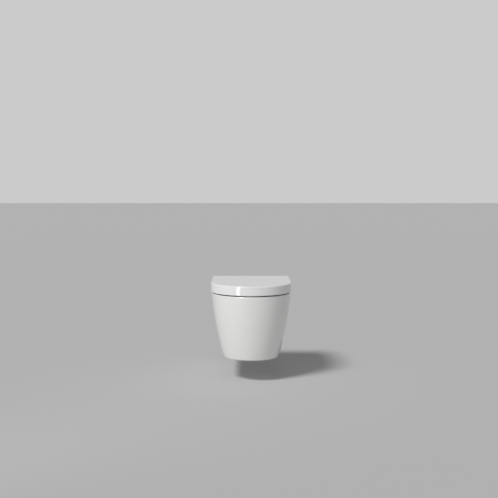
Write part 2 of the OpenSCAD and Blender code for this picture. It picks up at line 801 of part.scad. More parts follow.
// The seat's ring, from sections turned and run round its hole
module seat_ring() {
    turn_y = seat_hole_back_y - seat_corner_r;
    color([0.94, 0.94, 0.93])
    difference() {
        union() {
            intersection() {
                union() {
                    front_turn(front_centre_y) seat_section(seat_hole_r);
                    side_run(front_centre_y, seat_back_y) seat_section(seat_hole_r);
                    across(-ring_mid_r, ring_mid_r)
                        polygon(bar_outline(seat_hole_back_y, seat_back_y + 2 * seat_outer_edge_r, seat_low_z,
                            seat_top_z, seat_inner_edge_r, seat_outer_edge_r, seat_low_edge_r));
                    for (side = [LEFT, RIGHT]) on_side(side)
                        translate([seat_hole_r - seat_corner_r, turn_y, 0])
                            rotate_extrude(angle = 90) seat_section(seat_corner_r);
                }
                across(-pan_w, pan_w)
                    polygon(bar_outline(-2 * pan_len, seat_back_y, seat_low_z, seat_top_z,
                        seat_low_edge_r, seat_outer_edge_r, seat_low_edge_r));
            }
            seat_arm(LEFT);
            seat_arm(RIGHT);
        }
        knuckle_bore(LEFT, seat_knuckle_x);
        knuckle_bore(RIGHT, seat_knuckle_x);
    }
}

module seat_section(inner) {
    polygon(bar_outline(inner, inner + seat_ring_w, seat_low_z, seat_top_z,
        seat_inner_edge_r, seat_outer_edge_r, seat_low_edge_r));
}

// Place on the ring: at an angle from straight ahead, or at a distance behind the front curve's centre
module ring_front(side, angle) {
    translate([side * ring_mid_r * sin(angle), front_centre_y - ring_mid_r * cos(angle), 0]) children();
}

module ring_rear(side, behind) {
    translate([side * ring_mid_r, front_centre_y + behind, 0]) children();
}

module seat_bumper() {
    color([0.80, 0.80, 0.79])
    translate([0, 0, rim_z + rest_gap]) cylinder(r = seat_bumper_r, h = seat_lift - rest_gap);
}

module lid_bumper() {
    color([0.80, 0.80, 0.79])
    translate([0, 0, seat_top_z + rest_gap])
        cylinder(r = lid_bumper_r, h = lid_top_z - lid_top_t - lid_boss_h - seat_top_z - rest_gap);
}

module lid_boss() {
    translate([0, 0, lid_top_z - lid_top_t - lid_boss_h]) cylinder(r = lid_boss_r, h = lid_boss_h + over);
}

function lid_outline() =
    concat(
        [[0, lid_low_z]],
        arc(lid_r - lid_lip_r, lid_low_z + lid_lip_r, lid_lip_r, -90, 0, edge_steps),
        arc(lid_r - lid_edge_r, lid_top_z - lid_edge_r, lid_edge_r, 0, 90, edge_steps),
        [[0, lid_top_z]]
    );

function lid_hollow_outline() =
    let (r = lid_r - lid_wall_t, top = lid_top_z - lid_top_t)
    [[0, lid_low_z - over], [r, lid_low_z - over], [r, top], [0, top]];

// Bridge from the lid's back wall to its knuckle
module lid_arm(side) {
    on_side(side) {
        translate([0, axis_y, axis_z]) across(lid_knuckle_x, lid_knuckle_x + knuckle_w)
            polygon([
                [-hinge_behind - lid_wall_t / 2, lid_top_z - lid_back_h - axis_z],
                [0, -knuckle_r], [0, knuckle_r],
                [-hinge_behind - lid_wall_t / 2, knuckle_r]
            ]);
        on_axis(knuckle_r, lid_knuckle_x, lid_knuckle_x + knuckle_w);
    }
}

module lid_shell() {
    color([0.96, 0.96, 0.95])
    difference() {
        union() {
            difference() {
                intersection() {
                    d_solid(lid_outline(), lid_back_y);
                    across(-pan_w, pan_w)
                        polygon(bar_outline(-2 * pan_len, lid_back_y, lid_low_z, lid_top_z,
                            lid_lip_r, lid_back_edge_r, lid_lip_r / 2));
                }
                d_solid(lid_hollow_outline(), lid_back_y - lid_wall_t);
                translate([lid_wall_t - lid_r, front_centre_y, lid_low_z - over])
                    cube([
                        2 * (lid_r - lid_wall_t), lid_back_y - front_centre_y + over,
                        lid_h - lid_back_h + over
                    ]);
            }
            for (side = [LEFT, RIGHT]) {
                ring_front(side, lid_bumper_angle) lid_boss();
                ring_rear(side, lid_bumper_behind) lid_boss();
            }
            lid_arm(LEFT);
            lid_arm(RIGHT);
        }
        knuckle_bore(LEFT, lid_knuckle_x);
        knuckle_bore(RIGHT, lid_knuckle_x);
    }
}

module seat_damper() {
    color([0.20, 0.21, 0.22]) cartridge(RIGHT, seat_knuckle_x);
}

module seat_bush() {
    color([0.85, 0.85, 0.82]) cartridge(LEFT, seat_knuckle_x);
}

module lid_damper() {
    color([0.20, 0.21, 0.22]) cartridge(LEFT, lid_knuckle_x);
}

module lid_bush() {
    color([0.85, 0.85, 0.82]) cartridge(RIGHT, lid_knuckle_x);
}

bowl();
wall_bracket(LEFT);  // wall_bracket_left
wall_bracket(RIGHT);  // wall_bracket_right
stud_washers();
stud_nuts();
side_sleeves();
side_screws();
screw_cap(LEFT);  // screw_cap_left
screw_cap(RIGHT);  // screw_cap_right
flush_distributor();
hinge_post(LEFT);  // hinge_post_left
hinge_post(RIGHT);  // hinge_post_right
hinge_gaskets();
expanding_plugs();
plug_nuts();
hinge_bolts();
hinge_pin(LEFT);  // hinge_pin_left
hinge_pin(RIGHT);  // hinge_pin_right
pin_clips();
seat_ring();
ring_front(LEFT, seat_bumper_angle) seat_bumper();  // seat_bumper_front_left
ring_front(RIGHT, seat_bumper_angle) seat_bumper();  // seat_bumper_front_right
ring_rear(LEFT, seat_bumper_behind) seat_bumper();  // seat_bumper_rear_left
ring_rear(RIGHT, seat_bumper_behind) seat_bumper();  // seat_bumper_rear_right
seat_damper();
seat_bush();
lid_shell();
ring_front(LEFT, lid_bumper_angle) lid_bumper();  // lid_bumper_front_left
ring_front(RIGHT, lid_bumper_angle) lid_bumper();  // lid_bumper_front_right
ring_rear(LEFT, lid_bumper_behind) lid_bumper();  // lid_bumper_rear_left
ring_rear(RIGHT, lid_bumper_behind) lid_bumper();  // lid_bumper_rear_right
lid_damper();
lid_bush();
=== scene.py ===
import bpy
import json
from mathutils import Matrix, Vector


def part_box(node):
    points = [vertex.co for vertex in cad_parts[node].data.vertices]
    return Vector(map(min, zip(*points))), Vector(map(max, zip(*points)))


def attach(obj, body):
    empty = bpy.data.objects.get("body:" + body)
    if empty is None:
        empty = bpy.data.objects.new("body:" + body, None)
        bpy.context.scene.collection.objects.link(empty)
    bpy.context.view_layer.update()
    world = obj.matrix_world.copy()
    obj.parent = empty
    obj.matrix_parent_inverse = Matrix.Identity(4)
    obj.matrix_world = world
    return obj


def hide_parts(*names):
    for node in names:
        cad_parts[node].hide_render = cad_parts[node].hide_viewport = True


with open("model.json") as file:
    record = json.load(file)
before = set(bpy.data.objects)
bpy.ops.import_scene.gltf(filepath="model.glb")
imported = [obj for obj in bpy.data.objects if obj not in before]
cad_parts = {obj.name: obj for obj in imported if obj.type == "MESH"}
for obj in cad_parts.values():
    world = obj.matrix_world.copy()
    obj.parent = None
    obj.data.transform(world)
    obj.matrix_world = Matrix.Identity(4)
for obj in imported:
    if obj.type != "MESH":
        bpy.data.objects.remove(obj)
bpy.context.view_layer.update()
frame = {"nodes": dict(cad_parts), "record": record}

import json
import math
from functools import partialmethod

import bmesh
import bpy
import numpy as np
from mathutils import Matrix, Vector

# Metres: x runs to the right, y to the wall, and z up from the height of the wall frame's studs
MM = 0.001
SIDES = (-1, 1)
RIGHT = (1, 0, 0)
TO_WALL = (0, 1, 0)
TO_ROOM = (0, -1, 0)
UP = (0, 0, 1)

# Limits for doubles, straight edges, flat faces and sharp edges, then how edges are eased and shaded
MERGE = 1e-6
LEAST_EDGE = MERGE / 10
STRAIGHT = math.radians(0.05)
FLAT = math.radians(1)
SHARP = math.radians(35)
EASING_STEPS = 3
SMOOTHING = 60

# How far a cutting solid runs past the face that it cuts
PAST = 5 * MM
JUST_PAST = MM

# Sizes that the frame gives
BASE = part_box("bowl")[0].z
LID_LOW, LID_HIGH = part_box("lid_shell")
SEAT_LOW, SEAT_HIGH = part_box("seat_ring")
LID_R = LID_HIGH.x
SEAT_R = SEAT_HIGH.x
FRONT_CENTRE = LID_LOW.y + LID_R

# The pan's skin and hollow
RIM = 0.080
UNDER_RIM = RIM - 7 * MM
LID_OVERHANG = 3 * MM
PAN_R = LID_R - LID_OVERHANG
BASE_R = 0.126
SIDE_BULGE = 9 * MM
RIM_ROLL = 4.5 * MM
BASE_ROLL = 8 * MM
SHELL = 10 * MM
DECK_UNDERSIDE = 0.066
CAVITY_BACK = 0.020
CAVITY_FLOOR = -0.208
CAVITY_ROLL = 6 * MM

# The basin and the sump
BASIN_R = 0.131
BASIN_ROLL = 5 * MM
BASIN_REAR = -0.315
BASIN_UPRIGHT = 0.040
BASIN_DEPTH = 0.150
BASIN_WALL = 10 * MM
BASIN_BLEND = 14 * MM
SLIDE_LOW = -0.125
SLIDE_RISE = 0.040
SUMP_MOUTH = -0.080
SUMP_MOUTH_R = 0.064
SUMP_LOW = -0.161
SUMP_R = 0.046

# The trapway and the outlet
TRAP_R = 0.026
TRAP_WALL = 9 * MM
TRAP_FLOOR = -0.181
BEND_R = 0.051
BEND_LOW = -0.255
BEND_HIGH = -0.153
BEND_HEIGHT = -0.130
FALL_DEGREES = 18
FALL_STEPS = 14
OUTLET_HEIGHT = -0.100
OUTLET_R = 0.045
OUTLET_WALL = 6 * MM
OUTLET_FULL = -0.070
OUTLET_END = -0.002
OUTLET_FLARE = 1.5 * MM
OUTLET_STEP = 0.3 * MM

# The inlet, the fixing web and the holes
INLET_HEIGHT = 0.035
INLET_R = 0.0275
INLET_WALL = 8 * MM
INLET_DEPTH = 0.070
INLET_MOUTH = 1.5 * MM
CHANNEL_R = 0.022
WEB = 14 * MM
WEB_LOW = -0.040
WEB_NOTCH = 0.064
WEB_WINDOW = (0.065, 0.151, -0.030, 0.029)
WEB_WINDOW_ROLL = 3 * MM
DECK_HOLE = (0.0775, -0.136)
DECK_HOLE_R = 7.5 * MM
DECK_HOLE_DEPTH = 30 * MM
CLAMP_Y = -0.040
CLAMP_HOLE_R = 8 * MM
HOLE_MOUTH = 0.8 * MM

# The lid
LID_BACK = -0.126
LID_EDGE = 5 * MM
LID_LIP = 2 * MM
LID_WALL = 4 * MM
LID_TOP = 5 * MM
LID_INNER_ROLL = 5 * MM
LID_DRAFT = 0.8 * MM
LID_BACK_LOW = 0.112
BOSS_R = 8 * MM
BOSS_LOW = 0.114
BOSS_FILLET = 1.5 * MM

# The seat
SEAT_TOP = 0.108
HOLE_R = 0.118
HOLE_BACK = -0.233
HOLE_CORNER = 0.040
SEAT_BACK = -0.160
SEAT_SQUARENESS = 18
SEAT_EDGE = 5 * MM
SEAT_INNER_EDGE = 8 * MM
SEAT_LOW_EDGE = 2 * MM
CROWN_FALL = 4 * MM
CROWN_START = 0.45
CROWN_END = 0.9
CROWN_STEPS = 12
RING_MIDDLE = 0.148

# The hinges
HINGE_Y = -0.113
HINGE_Z = 0.1165
KNUCKLE_R = 8 * MM
KNUCKLE_EDGE = MM
CARTRIDGE_R = 6 * MM
PIN_BORE_R = 3.55 * MM
ARM_EASING = 0.8 * MM
SEAT_KNUCKLE = (0.0455, 0.0695)
LID_KNUCKLE = (0.0855, 0.1095)

# The fixings
STUD_X = 0.090
BRACKET_FACE = -10 * MM
WASHER = 2.5 * MM
HEXAGON = math.cos(math.pi / 6)
PLUG_NUT_BASE = 50 * MM
BUMPER_GAP = 0.3 * MM

# Steps in curved shapes
SIDE_STEPS = 48
RIM_STEPS = 10
BASE_STEPS = 12
STATIONS = 165
HOLLOW_STATIONS = 85
BACK_STATIONS = 2
SEGMENTS = 48
TUBE_STEPS = 64
RING_POINTS = 128
HULL_RAYS = 1440

# The camera, which the photograph's edges gave
LENS = 74.32
SENSOR = 36
CAMERA_PLACE = (-0.0094, -5.084, 0.677)
CAMERA_FALL = 4.84
VIEW_DEPTH = 25.0

# The studio
FLOOR = -0.320
FLOOR_TONE = 0.6
BACKDROP = 0.60
AMBIENT = 0.23
WINDOW_AIM = (-0.05, -0.50, 0.05)
WINDOW_TURN = math.radians(36.6)
WINDOW_DISTANCE = 2.6

# The finishes, in mm: tone is the share by which a colour drifts, and grain and wave are (size, height)
TONE_SIZE = 90
GLOSS_SIZE = 35
GLOSS_RANGE = (0.8, 1.25)
NOISE_RANGE = (0.3, 0.7)
COAT_ROUGHNESS = 0.02
FINISH_SETTINGS = {
    "glazed_china": dict(colour=(0.87, 0.87, 0.86), roughness=0.06, tone=0.015, coat=0.6, grain=(2.5, 0.012),
                         wave=(45, 0.15)),
    "bare_china": dict(colour=(0.80, 0.77, 0.71), roughness=0.78, tone=0.10, grain=(0.8, 0.06),
                       wave=(14, 0.15)),
    "lid_plastic": dict(colour=(0.87, 0.87, 0.865), roughness=0.09, tone=0.01, coat=0.2, wave=(80, 0.02)),
    "seat_plastic": dict(colour=(0.86, 0.86, 0.855), roughness=0.12, tone=0.01, coat=0.2, wave=(60, 0.03)),
    "cap_plastic": dict(colour=(0.84, 0.84, 0.835), roughness=0.2, tone=0.015),
    "bracket_plastic": dict(colour=(0.075, 0.078, 0.085), roughness=0.5, tone=0.15, grain=(0.6, 0.04)),
    "distributor_plastic": dict(colour=(0.80, 0.81, 0.82), roughness=0.28, tone=0.015, wave=(20, 0.02)),
    "nylon": dict(colour=(0.76, 0.75, 0.70), roughness=0.42, tone=0.05, grain=(1.0, 0.01)),
    "damper_plastic": dict(colour=(0.09, 0.095, 0.10), roughness=0.38, tone=0.1, grain=(0.7, 0.02)),
    "hinge_chrome": dict(colour=(0.78, 0.79, 0.81), roughness=0.1, tone=0.02, metallic=1, wave=(12, 0.01)),
    "pin_steel": dict(colour=(0.62, 0.62, 0.61), roughness=0.24, tone=0.05, metallic=1),
    "zinc_steel": dict(colour=(0.60, 0.61, 0.64), roughness=0.34, tone=0.15, metallic=1, grain=(1.2, 0.015)),
    "black_rubber": dict(colour=(0.022, 0.022, 0.023), roughness=0.62, tone=0.2, grain=(0.5, 0.02)),
    "bumper_rubber": dict(colour=(0.62, 0.62, 0.61), roughness=0.48, tone=0.04, grain=(0.8, 0.015)),
}

SLOT_OF = {entry["node"]: entry["material_slot"] for entry in frame["record"]["subparts"]}
BODY_OF = {node: body for body, nodes in frame["record"]["behaviour"]["bodies"].items() for node in nodes}


def with_settings(thing, settings):
    """Sets a thing's attributes by name."""
    for setting, value in settings.items():
        setattr(thing, setting, value)
    return thing


class Value:
    """What comes out of a socket. A sum with it adds a Math node to its tree."""

    def __init__(self, wiring, socket):
        self.wiring = wiring
        self.socket = socket

    def reckon(self, operation, *others):
        return self.wiring.fill(self.wiring.node("ShaderNodeMath", operation=operation), self, *others)

    __add__ = partialmethod(reckon, "ADD")
    __sub__ = partialmethod(reckon, "SUBTRACT")
    __mul__ = partialmethod(reckon, "MULTIPLY")
    __truediv__ = partialmethod(reckon, "DIVIDE")


class Wiring:
    """Adds nodes to a tree, and joins their sockets to values."""

    def __init__(self, tree):
        self.tree = tree

    def node(self, kind, **settings):
        return with_settings(self.tree.nodes.new(kind), settings)

    def out(self, made, name=0):
        """One of a node's outputs: the first, unless a name is given."""
        return Value(self, made.outputs[name])

    def put(self, socket, value):
        if isinstance(value, Value):
            self.tree.links.new(value.socket, socket)
        else:
            socket.default_value = value

    def fill(self, made, *values):
        """Sets a node's inputs in their order, and returns its first output."""
        for socket, value in zip(made.inputs, values):
            self.put(socket, value)
        return self.out(made)

    def join(self, made, **values):
        """Sets a node's inputs by name, with _ for a space, and returns its first output."""
        for label, value in values.items():
            self.put(made.inputs[label.replace("_", " ")], value)
        return self.out(made)


class ShapeTree(Wiring):
    """A Geometry Nodes tree with named inputs, which ends in real geometry with its finish."""

    def __init__(self, name, inputs):
        super().__init__(bpy.data.node_groups.new(name, "GeometryNodeTree"))
        new_socket = self.tree.interface.new_socket
        new_socket("Geometry", in_out="OUTPUT", socket_type="NodeSocketGeometry")
        for label, kind in {"Geometry": "Geometry", **inputs, "Material": "Material"}.items():
            new_socket(label, in_out="INPUT", socket_type="NodeSocket" + kind)
        self.given = {socket.name: Value(self, socket) for socket in self.node("NodeGroupInput").outputs}

    def geometry_of(self, label):
        """The geometry of an object that the tree is given."""
        source = self.node("GeometryNodeObjectInfo")
        self.join(source, Object=self.given[label])
        return self.out(source, "Geometry")

    def carried(self, label, kind="FLOAT"):
        """The value that each point carries under a name."""
        return self.join(self.node("GeometryNodeInputNamedAttribute", data_type=kind), Name=label)

    def at_step(self, step, value, kind="FLOAT"):
        """The value of the profile's point at a step."""
        sample = self.node("GeometryNodeSampleIndex", data_type=kind, domain="POINT")
        return self.join(sample, Geometry=self.geometry_of("Profile"), Value=value, Index=step)

    def profile_grid(self, stations):
        """A grid with the profile at each station, and its points' station, step, radius and height."""
        count = self.given["Profile Points"]
        grid = self.node("GeometryNodeMeshGrid")
        self.join(grid, Vertices_X=stations, Vertices_Y=count)
        index = self.out(self.node("GeometryNodeInputIndex"))
        station = ((index + 0.5) / count).reckon("FLOOR")
        step = (index - station * count).reckon("ROUND")
        spot = self.out(self.node("GeometryNodeInputPosition"))
        split = self.node("ShaderNodeSeparateXYZ")
        self.join(split, Vector=self.at_step(step, spot, "FLOAT_VECTOR"))
        return self.out(grid, "Mesh"), station, step, self.out(split, "X"), self.out(split, "Z")

    def merged(self, mesh):
        return self.join(self.node("GeometryNodeMergeByDistance"), Geometry=mesh, Distance=MERGE)

    def shaped(self, mesh, x, y, z):
        """The mesh with its points moved to their places, and its doubles merged."""
        place = self.fill(self.node("ShaderNodeCombineXYZ"), x, y, z)
        return self.merged(self.join(self.node("GeometryNodeSetPosition"), Geometry=mesh, Position=place))

    def end(self, geometry):
        real = self.join(self.node("GeometryNodeRealizeInstances"), Geometry=geometry)
        paint = self.node("GeometryNodeSetMaterial")
        painted = self.join(paint, Geometry=real, Material=self.given["Material"])
        self.put(self.node("NodeGroupOutput").inputs[0], painted)
        return self.tree


def d_form_tree():
    """A solid with a half-round front and a straight back, swept from a profile of radius and height.

    Its first and last stations are at the middle of the back, and the ones next to them at its corners.
    """
    shape = ShapeTree("D form", {
        "Profile": "Object", "Profile Points": "Int", "Stations": "Int",
        "Front Centre": "Float", "Back": "Float", "Half Width": "Float", "Back Rounding": "Float",
    })
    given = shape.given
    mesh, station, _, radius, height = shape.profile_grid(given["Stations"])

    last = given["Stations"] - 1.0
    turn = (station - BACK_STATIONS) / (last - 2 * BACK_STATIONS)
    turn = turn.reckon("MAXIMUM", 0.0).reckon("MINIMUM", 1.0) * math.pi
    from_end = station.reckon("MINIMUM", last - station)
    at_back = from_end.reckon("LESS_THAN", 1.5)
    off_middle = from_end.reckon("GREATER_THAN", 0.5)

    across = turn.reckon("COSINE") * radius * off_middle
    inset = (given["Half Width"] - radius).reckon("MINIMUM", given["Back Rounding"])
    to_back = given["Back"] - given["Front Centre"] - inset
    along = given["Front Centre"] - turn.reckon("SINE") * radius + to_back * at_back
    return shape.end(shape.shaped(mesh, across * -1.0, along, height))


def turned_tree():
    """A turned piece at each of its places: a profile of radius and height spun round the place's axis.

    A profile point with a flats value is held inside a hexagon of that half width across its flats.
    """
    shape = ShapeTree("Turned piece", {
        "Profile": "Object", "Profile Points": "Int", "Segments": "Int", "Places": "Object",
    })
    segments = shape.given["Segments"]
    mesh, station, step, radius, height = shape.profile_grid(segments + 1.0)
    turn = station / segments * (2 * math.pi)

    flats = shape.at_step(step, shape.carried("flats"))
    sector = math.pi / 3
    fold = turn.reckon("FLOORED_MODULO", sector) - sector / 2
    is_round = flats.reckon("LESS_THAN", MERGE)
    radius = radius.reckon("MINIMUM", flats / fold.reckon("COSINE") + is_round)
    piece = shape.shaped(mesh, turn.reckon("COSINE") * radius, turn.reckon("SINE") * radius, height)

    aim = shape.node("FunctionNodeAlignRotationToVector", axis="Z")
    rotation = shape.join(aim, Vector=shape.carried("axis", "FLOAT_VECTOR"))
    spots = shape.geometry_of("Places")
    copies = shape.node("GeometryNodeInstanceOnPoints")
    return shape.end(shape.join(copies, Points=spots, Instance=piece, Rotation=rotation))


def tube_tree():
    """A round tube along a path of points, with the radius that each point carries."""
    shape = ShapeTree("Tube", {"Path": "Object", "Round Steps": "Int"})
    curve = shape.join(shape.node("GeometryNodeMeshToCurve"), Mesh=shape.geometry_of("Path"))
    circle = shape.node("GeometryNodeCurvePrimitiveCircle")
    section = shape.join(circle, Resolution=shape.given["Round Steps"], Radius=1.0)
    radius = shape.carried("radius")
    sweep = shape.node("GeometryNodeCurveToMesh")
    mesh = shape.join(sweep, Curve=curve, Profile_Curve=section, Scale=radius, Fill_Caps=True)
    return shape.end(shape.merged(mesh))


def link_object(name, data):
    made = bpy.data.objects.new(name, data)
    bpy.context.scene.collection.objects.link(made)
    return made


def discard(*objects):
    for each in objects:
        mesh = each.data
        bpy.data.objects.remove(each)
        bpy.data.meshes.remove(mesh)


def plain_mesh(source, name):
    """The object's mesh as its modifiers leave it, in a new object with no modifiers."""
    bpy.context.view_layer.update()
    evaluated = source.evaluated_get(bpy.context.evaluated_depsgraph_get())
    mesh = bpy.data.meshes.new_from_object(evaluated)
    discard(source)
    mesh.name = name
    return link_object(name, mesh)


def run_tree(tree, name, **values):
    """The mesh that a Geometry Nodes tree makes from its inputs by name, with _ for a space."""
    carrier = link_object(name, bpy.data.meshes.new(name + "_carrier"))
    modifier = carrier.modifiers.new("shape", "NODES")
    modifier.node_group = tree
    for item in tree.interface.items_tree:
        label = item.name.replace(" ", "_")
        if item.in_out == "INPUT" and label in values:
            modifier[item.identifier] = values[label]
    return plain_mesh(carrier, name)


def modified(piece, kind, **settings):
    """The piece as one modifier leaves it."""
    with_settings(piece.modifiers.new(kind, kind), settings)
    return plain_mesh(piece, piece.name)


def tidy(piece):
    """Merges doubles and turns every face outwards."""
    work = bmesh.new()
    work.from_mesh(piece.data)
    bmesh.ops.remove_doubles(work, verts=work.verts, dist=MERGE)
    bmesh.ops.dissolve_degenerate(work, edges=work.edges, dist=LEAST_EDGE)
    bmesh.ops.recalc_face_normals(work, faces=work.faces)
    work.to_mesh(piece.data)
    work.free()
    return piece


def in_straight_edge(vert):
    """True where a point only splits an edge that runs straight on."""
    if len(vert.link_edges) != 2:
        return False
    first, second = (edge.other_vert(vert).co - vert.co for edge in vert.link_edges)
    return first.angle(-second, 0) < STRAIGHT


def even_faces(piece):
    """Takes out points in the middle of straight edges, and splits many-sided faces with no slivers."""
    work = bmesh.new()
    work.from_mesh(piece.data)
    bmesh.ops.remove_doubles(work, verts=work.verts, dist=2 * MERGE)
    bmesh.ops.dissolve_degenerate(work, edges=work.edges, dist=2 * MERGE)
    bmesh.ops.dissolve_verts(work, verts=[vert for vert in work.verts if in_straight_edge(vert)])
    many_sided = [face for face in work.faces if len(face.verts) > 4]
    bmesh.ops.triangulate(work, faces=many_sided, quad_method="BEAUTY", ngon_method="BEAUTY")
    work.to_mesh(piece.data)
    work.free()
    return piece


def combine(piece, others, operation):
    """The piece after a boolean step with each of the other solids, which are used up."""
    for other in others:
        piece = modified(piece, "BOOLEAN", operation=operation, solver="MANIFOLD", material_mode="TRANSFER",
                         object=other)
        discard(other)
    return even_faces(piece)


def cut(piece, *tools):
    return combine(piece, tools, "DIFFERENCE")


def add(piece, *others):
    return combine(piece, others, "UNION")


def ease(piece, width):
    """Small rounded edges wherever two faces meet steeply."""
    return modified(piece, "BEVEL", width=width, segments=EASING_STEPS, limit_method="ANGLE",
                    angle_limit=SHARP, miter_outer="MITER_ARC")


def shade(piece):
    """Smooth shading, with crisp edges where two faces meet steeply and flat faces kept flat."""
    piece.data.shade_smooth()
    piece.data.set_sharp_from_angle(angle=SHARP)
    return modified(piece, "WEIGHTED_NORMAL", keep_sharp=True, weight=SMOOTHING)


def stand_for(piece, *nodes):
    """The piece, once shaded, rides on its nodes' body and shows in their place."""
    piece = shade(piece)
    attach(piece, BODY_OF[nodes[0]])
    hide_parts(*nodes)


def in_mm(points):
    """Points whose numbers are millimetres, in metres."""
    return [tuple(value * MM for value in point) for point in points]


def arc(centre, radius, start, end, steps):
    """Points on an arc, with angles in degrees from the first axis towards the second."""
    angles = np.radians(np.linspace(start, end, steps + 1))
    return [(centre[0] + radius * math.cos(a), centre[1] + radius * math.sin(a)) for a in angles]


def rolled(corners, steps=6):
    """An outline with its corners rounded: corners are (across, up) or (across, up, rounding)."""
    points = []
    count = len(corners)
    for k, corner in enumerate(corners):
        here = Vector(corner[:2])
        rounding = corner[2] if len(corner) > 2 else 0
        if rounding == 0:
            points.append(tuple(here))
            continue
        before = (Vector(corners[k - 1][:2]) - here).normalized()
        after = (Vector(corners[(k + 1) % count][:2]) - here).normalized()
        half = math.acos(max(min(before.dot(after), 1), -1)) / 2
        middle = here + (before + after).normalized() * rounding / math.sin(half)
        reach = rounding / math.tan(half)
        start, end = here + before * reach - middle, here + after * reach - middle
        sweep = start.angle_signed(end)
        for step in range(steps + 1):
            spoke = start.copy()
            spoke.rotate(Matrix.Rotation(-sweep * step / steps, 2))
            points.append(tuple(middle + spoke))
    return points


def point_carrier(name, points, label, values, links=()):
    """An object whose points each carry a number or a direction under a name, for a tree to read."""
    mesh = bpy.data.meshes.new(name)
    mesh.from_pydata(points, links, [])
    kind, field = ("FLOAT_VECTOR", "vector") if np.ndim(values) == 2 else ("FLOAT", "value")
    mesh.attributes.new(label, kind, "POINT").data.foreach_set(field, np.ravel(values).tolist())
    return link_object(name, mesh)


def profile_carrier(name, profile, flats=None):
    """Profile points of radius and height, with a flats value at each."""
    points = [(radius, 0, height) for radius, height in profile]
    return point_carrier(name + "_profile", points, "flats", flats or [0.0] * len(points))


def d_form(name, profile, half_width, back, back_rounding, finish, stations=STATIONS):
    """A D form solid from a profile listed from the middle of its top to the middle of its base."""
    carrier = profile_carrier(name, profile)
    made = run_tree(D_FORM, name, Profile=carrier, Profile_Points=len(profile), Stations=stations,
                    Front_Centre=FRONT_CENTRE, Back=back, Half_Width=half_width, Back_Rounding=back_rounding,
                    Material=finish)
    discard(carrier)
    return tidy(made)


def spin(name, profile, places, finish, segments=SEGMENTS, flats=None, closed=False):
    """Turned solids: profile points are (radius, height), and places are (point, axis)."""
    if closed:
        profile = [*profile, profile[0]]
        flats = flats and [*flats, flats[0]]
    carrier = profile_carrier(name, profile, flats)
    points, axes = zip(*places)
    spots = point_carrier(name + "_places", points, "axis", axes)
    made = run_tree(TURNED, name, Profile=carrier, Profile_Points=len(profile), Segments=segments,
                    Places=spots, Material=finish)
    discard(carrier, spots)
    return tidy(made)


def rod(name, radius, place, axis, low, high, finish, mouth=0, segments=SEGMENTS):
    """A round solid from low to high on an axis, flared at its high end by mouth for a softened hole."""
    profile = [(0, low), (radius, low), (radius, high - mouth)]
    if mouth:
        profile += arc((radius + mouth, high - mouth), mouth, 180, 90, steps=5)[1:]
        high += JUST_PAST
        profile.append((radius + mouth, high))
    profile.append((0, high))
    return spin(name, profile, [(place, axis)], finish, segments)


def tube(name, path, finish):
    """A round solid along a path of (point, radius)."""
    points, radii = zip(*path)
    links = [(k, k + 1) for k in range(len(path) - 1)]
    carrier = point_carrier(name + "_path", points, "radius", radii, links)
    made = run_tree(TUBE, name, Path=carrier, Round_Steps=TUBE_STEPS, Material=finish)
    discard(carrier)
    return tidy(made)


def loft(name, rings, finish, closed=False):
    """A solid through rings of equal point counts: closed on itself, or with flat ends."""
    points = [tuple(point) for ring in rings for point in ring]
    count = len(rings[0])
    total = len(points)
    levels = len(rings) if closed else len(rings) - 1
    faces = []
    for level in range(levels):
        for step in range(count):
            a = level * count + step
            b = level * count + (step + 1) % count
            faces.append((a, b, (b + count) % total, (a + count) % total))
    if not closed:
        faces.append(tuple(range(count)))
        faces.append(tuple(range(total - count, total)))
    mesh = bpy.data.meshes.new(name)
    mesh.from_pydata(points, [], faces)
    mesh.materials.append(finish)
    return tidy(link_object(name, mesh))


def prism(name, outline, along, low, high, finish):
    """A straight solid along X or Y, from an outline in the other two axes."""
    rings = [[(at, a, b) if along == "X" else (a, at, b) for a, b in outline] for at in (low, high)]
    return loft(name, rings, finish)


def mirrored(point, axis):
    """A place on the right and its mirror image on the left."""
    return [(point, axis), ((-point[0], point[1], point[2]), (-axis[0], axis[1], axis[2]))]


def pair(x, y, z, axis):
    """A place on the left and one on the right that face the same way."""
    return [((side * x, y, z), axis) for side in SIDES]


def bumper_places(front_angle, rear):
    """Two places on the ring's round front, at an angle from its middle, and two on its straight sides."""
    angle = math.radians(front_angle)
    front = pair(RING_MIDDLE * math.sin(angle), FRONT_CENTRE - RING_MIDDLE * math.cos(angle), 0, UP)
    return front + pair(RING_MIDDLE, FRONT_CENTRE + rear, 0, UP)


SEAT_BUMPERS = bumper_places(front_angle=32, rear=0.150)
LID_BUMPERS = bumper_places(front_angle=50, rear=0.115)


def side_arc():
    """Centre and radius of the pan's gently swollen side, through the rim and the base."""
    top, low = Vector((PAN_R, RIM)), Vector((BASE_R, BASE))
    chord = low - top
    half = chord.length / 2
    radius = (half * half + SIDE_BULGE * SIDE_BULGE) / (2 * SIDE_BULGE)
    inward = Vector((chord.y, -chord.x)).normalized()
    return (top + low) / 2 + inward * (radius - SIDE_BULGE), radius


def side_at(height):
    """The pan's half width at a height, and the direction straight out of its right side there."""
    centre, radius = side_arc()
    across = centre.x + math.sqrt(radius * radius - (height - centre.y) ** 2)
    out = Vector((across - centre.x, height - centre.y)).normalized()
    return across, (out.x, 0, out.y)


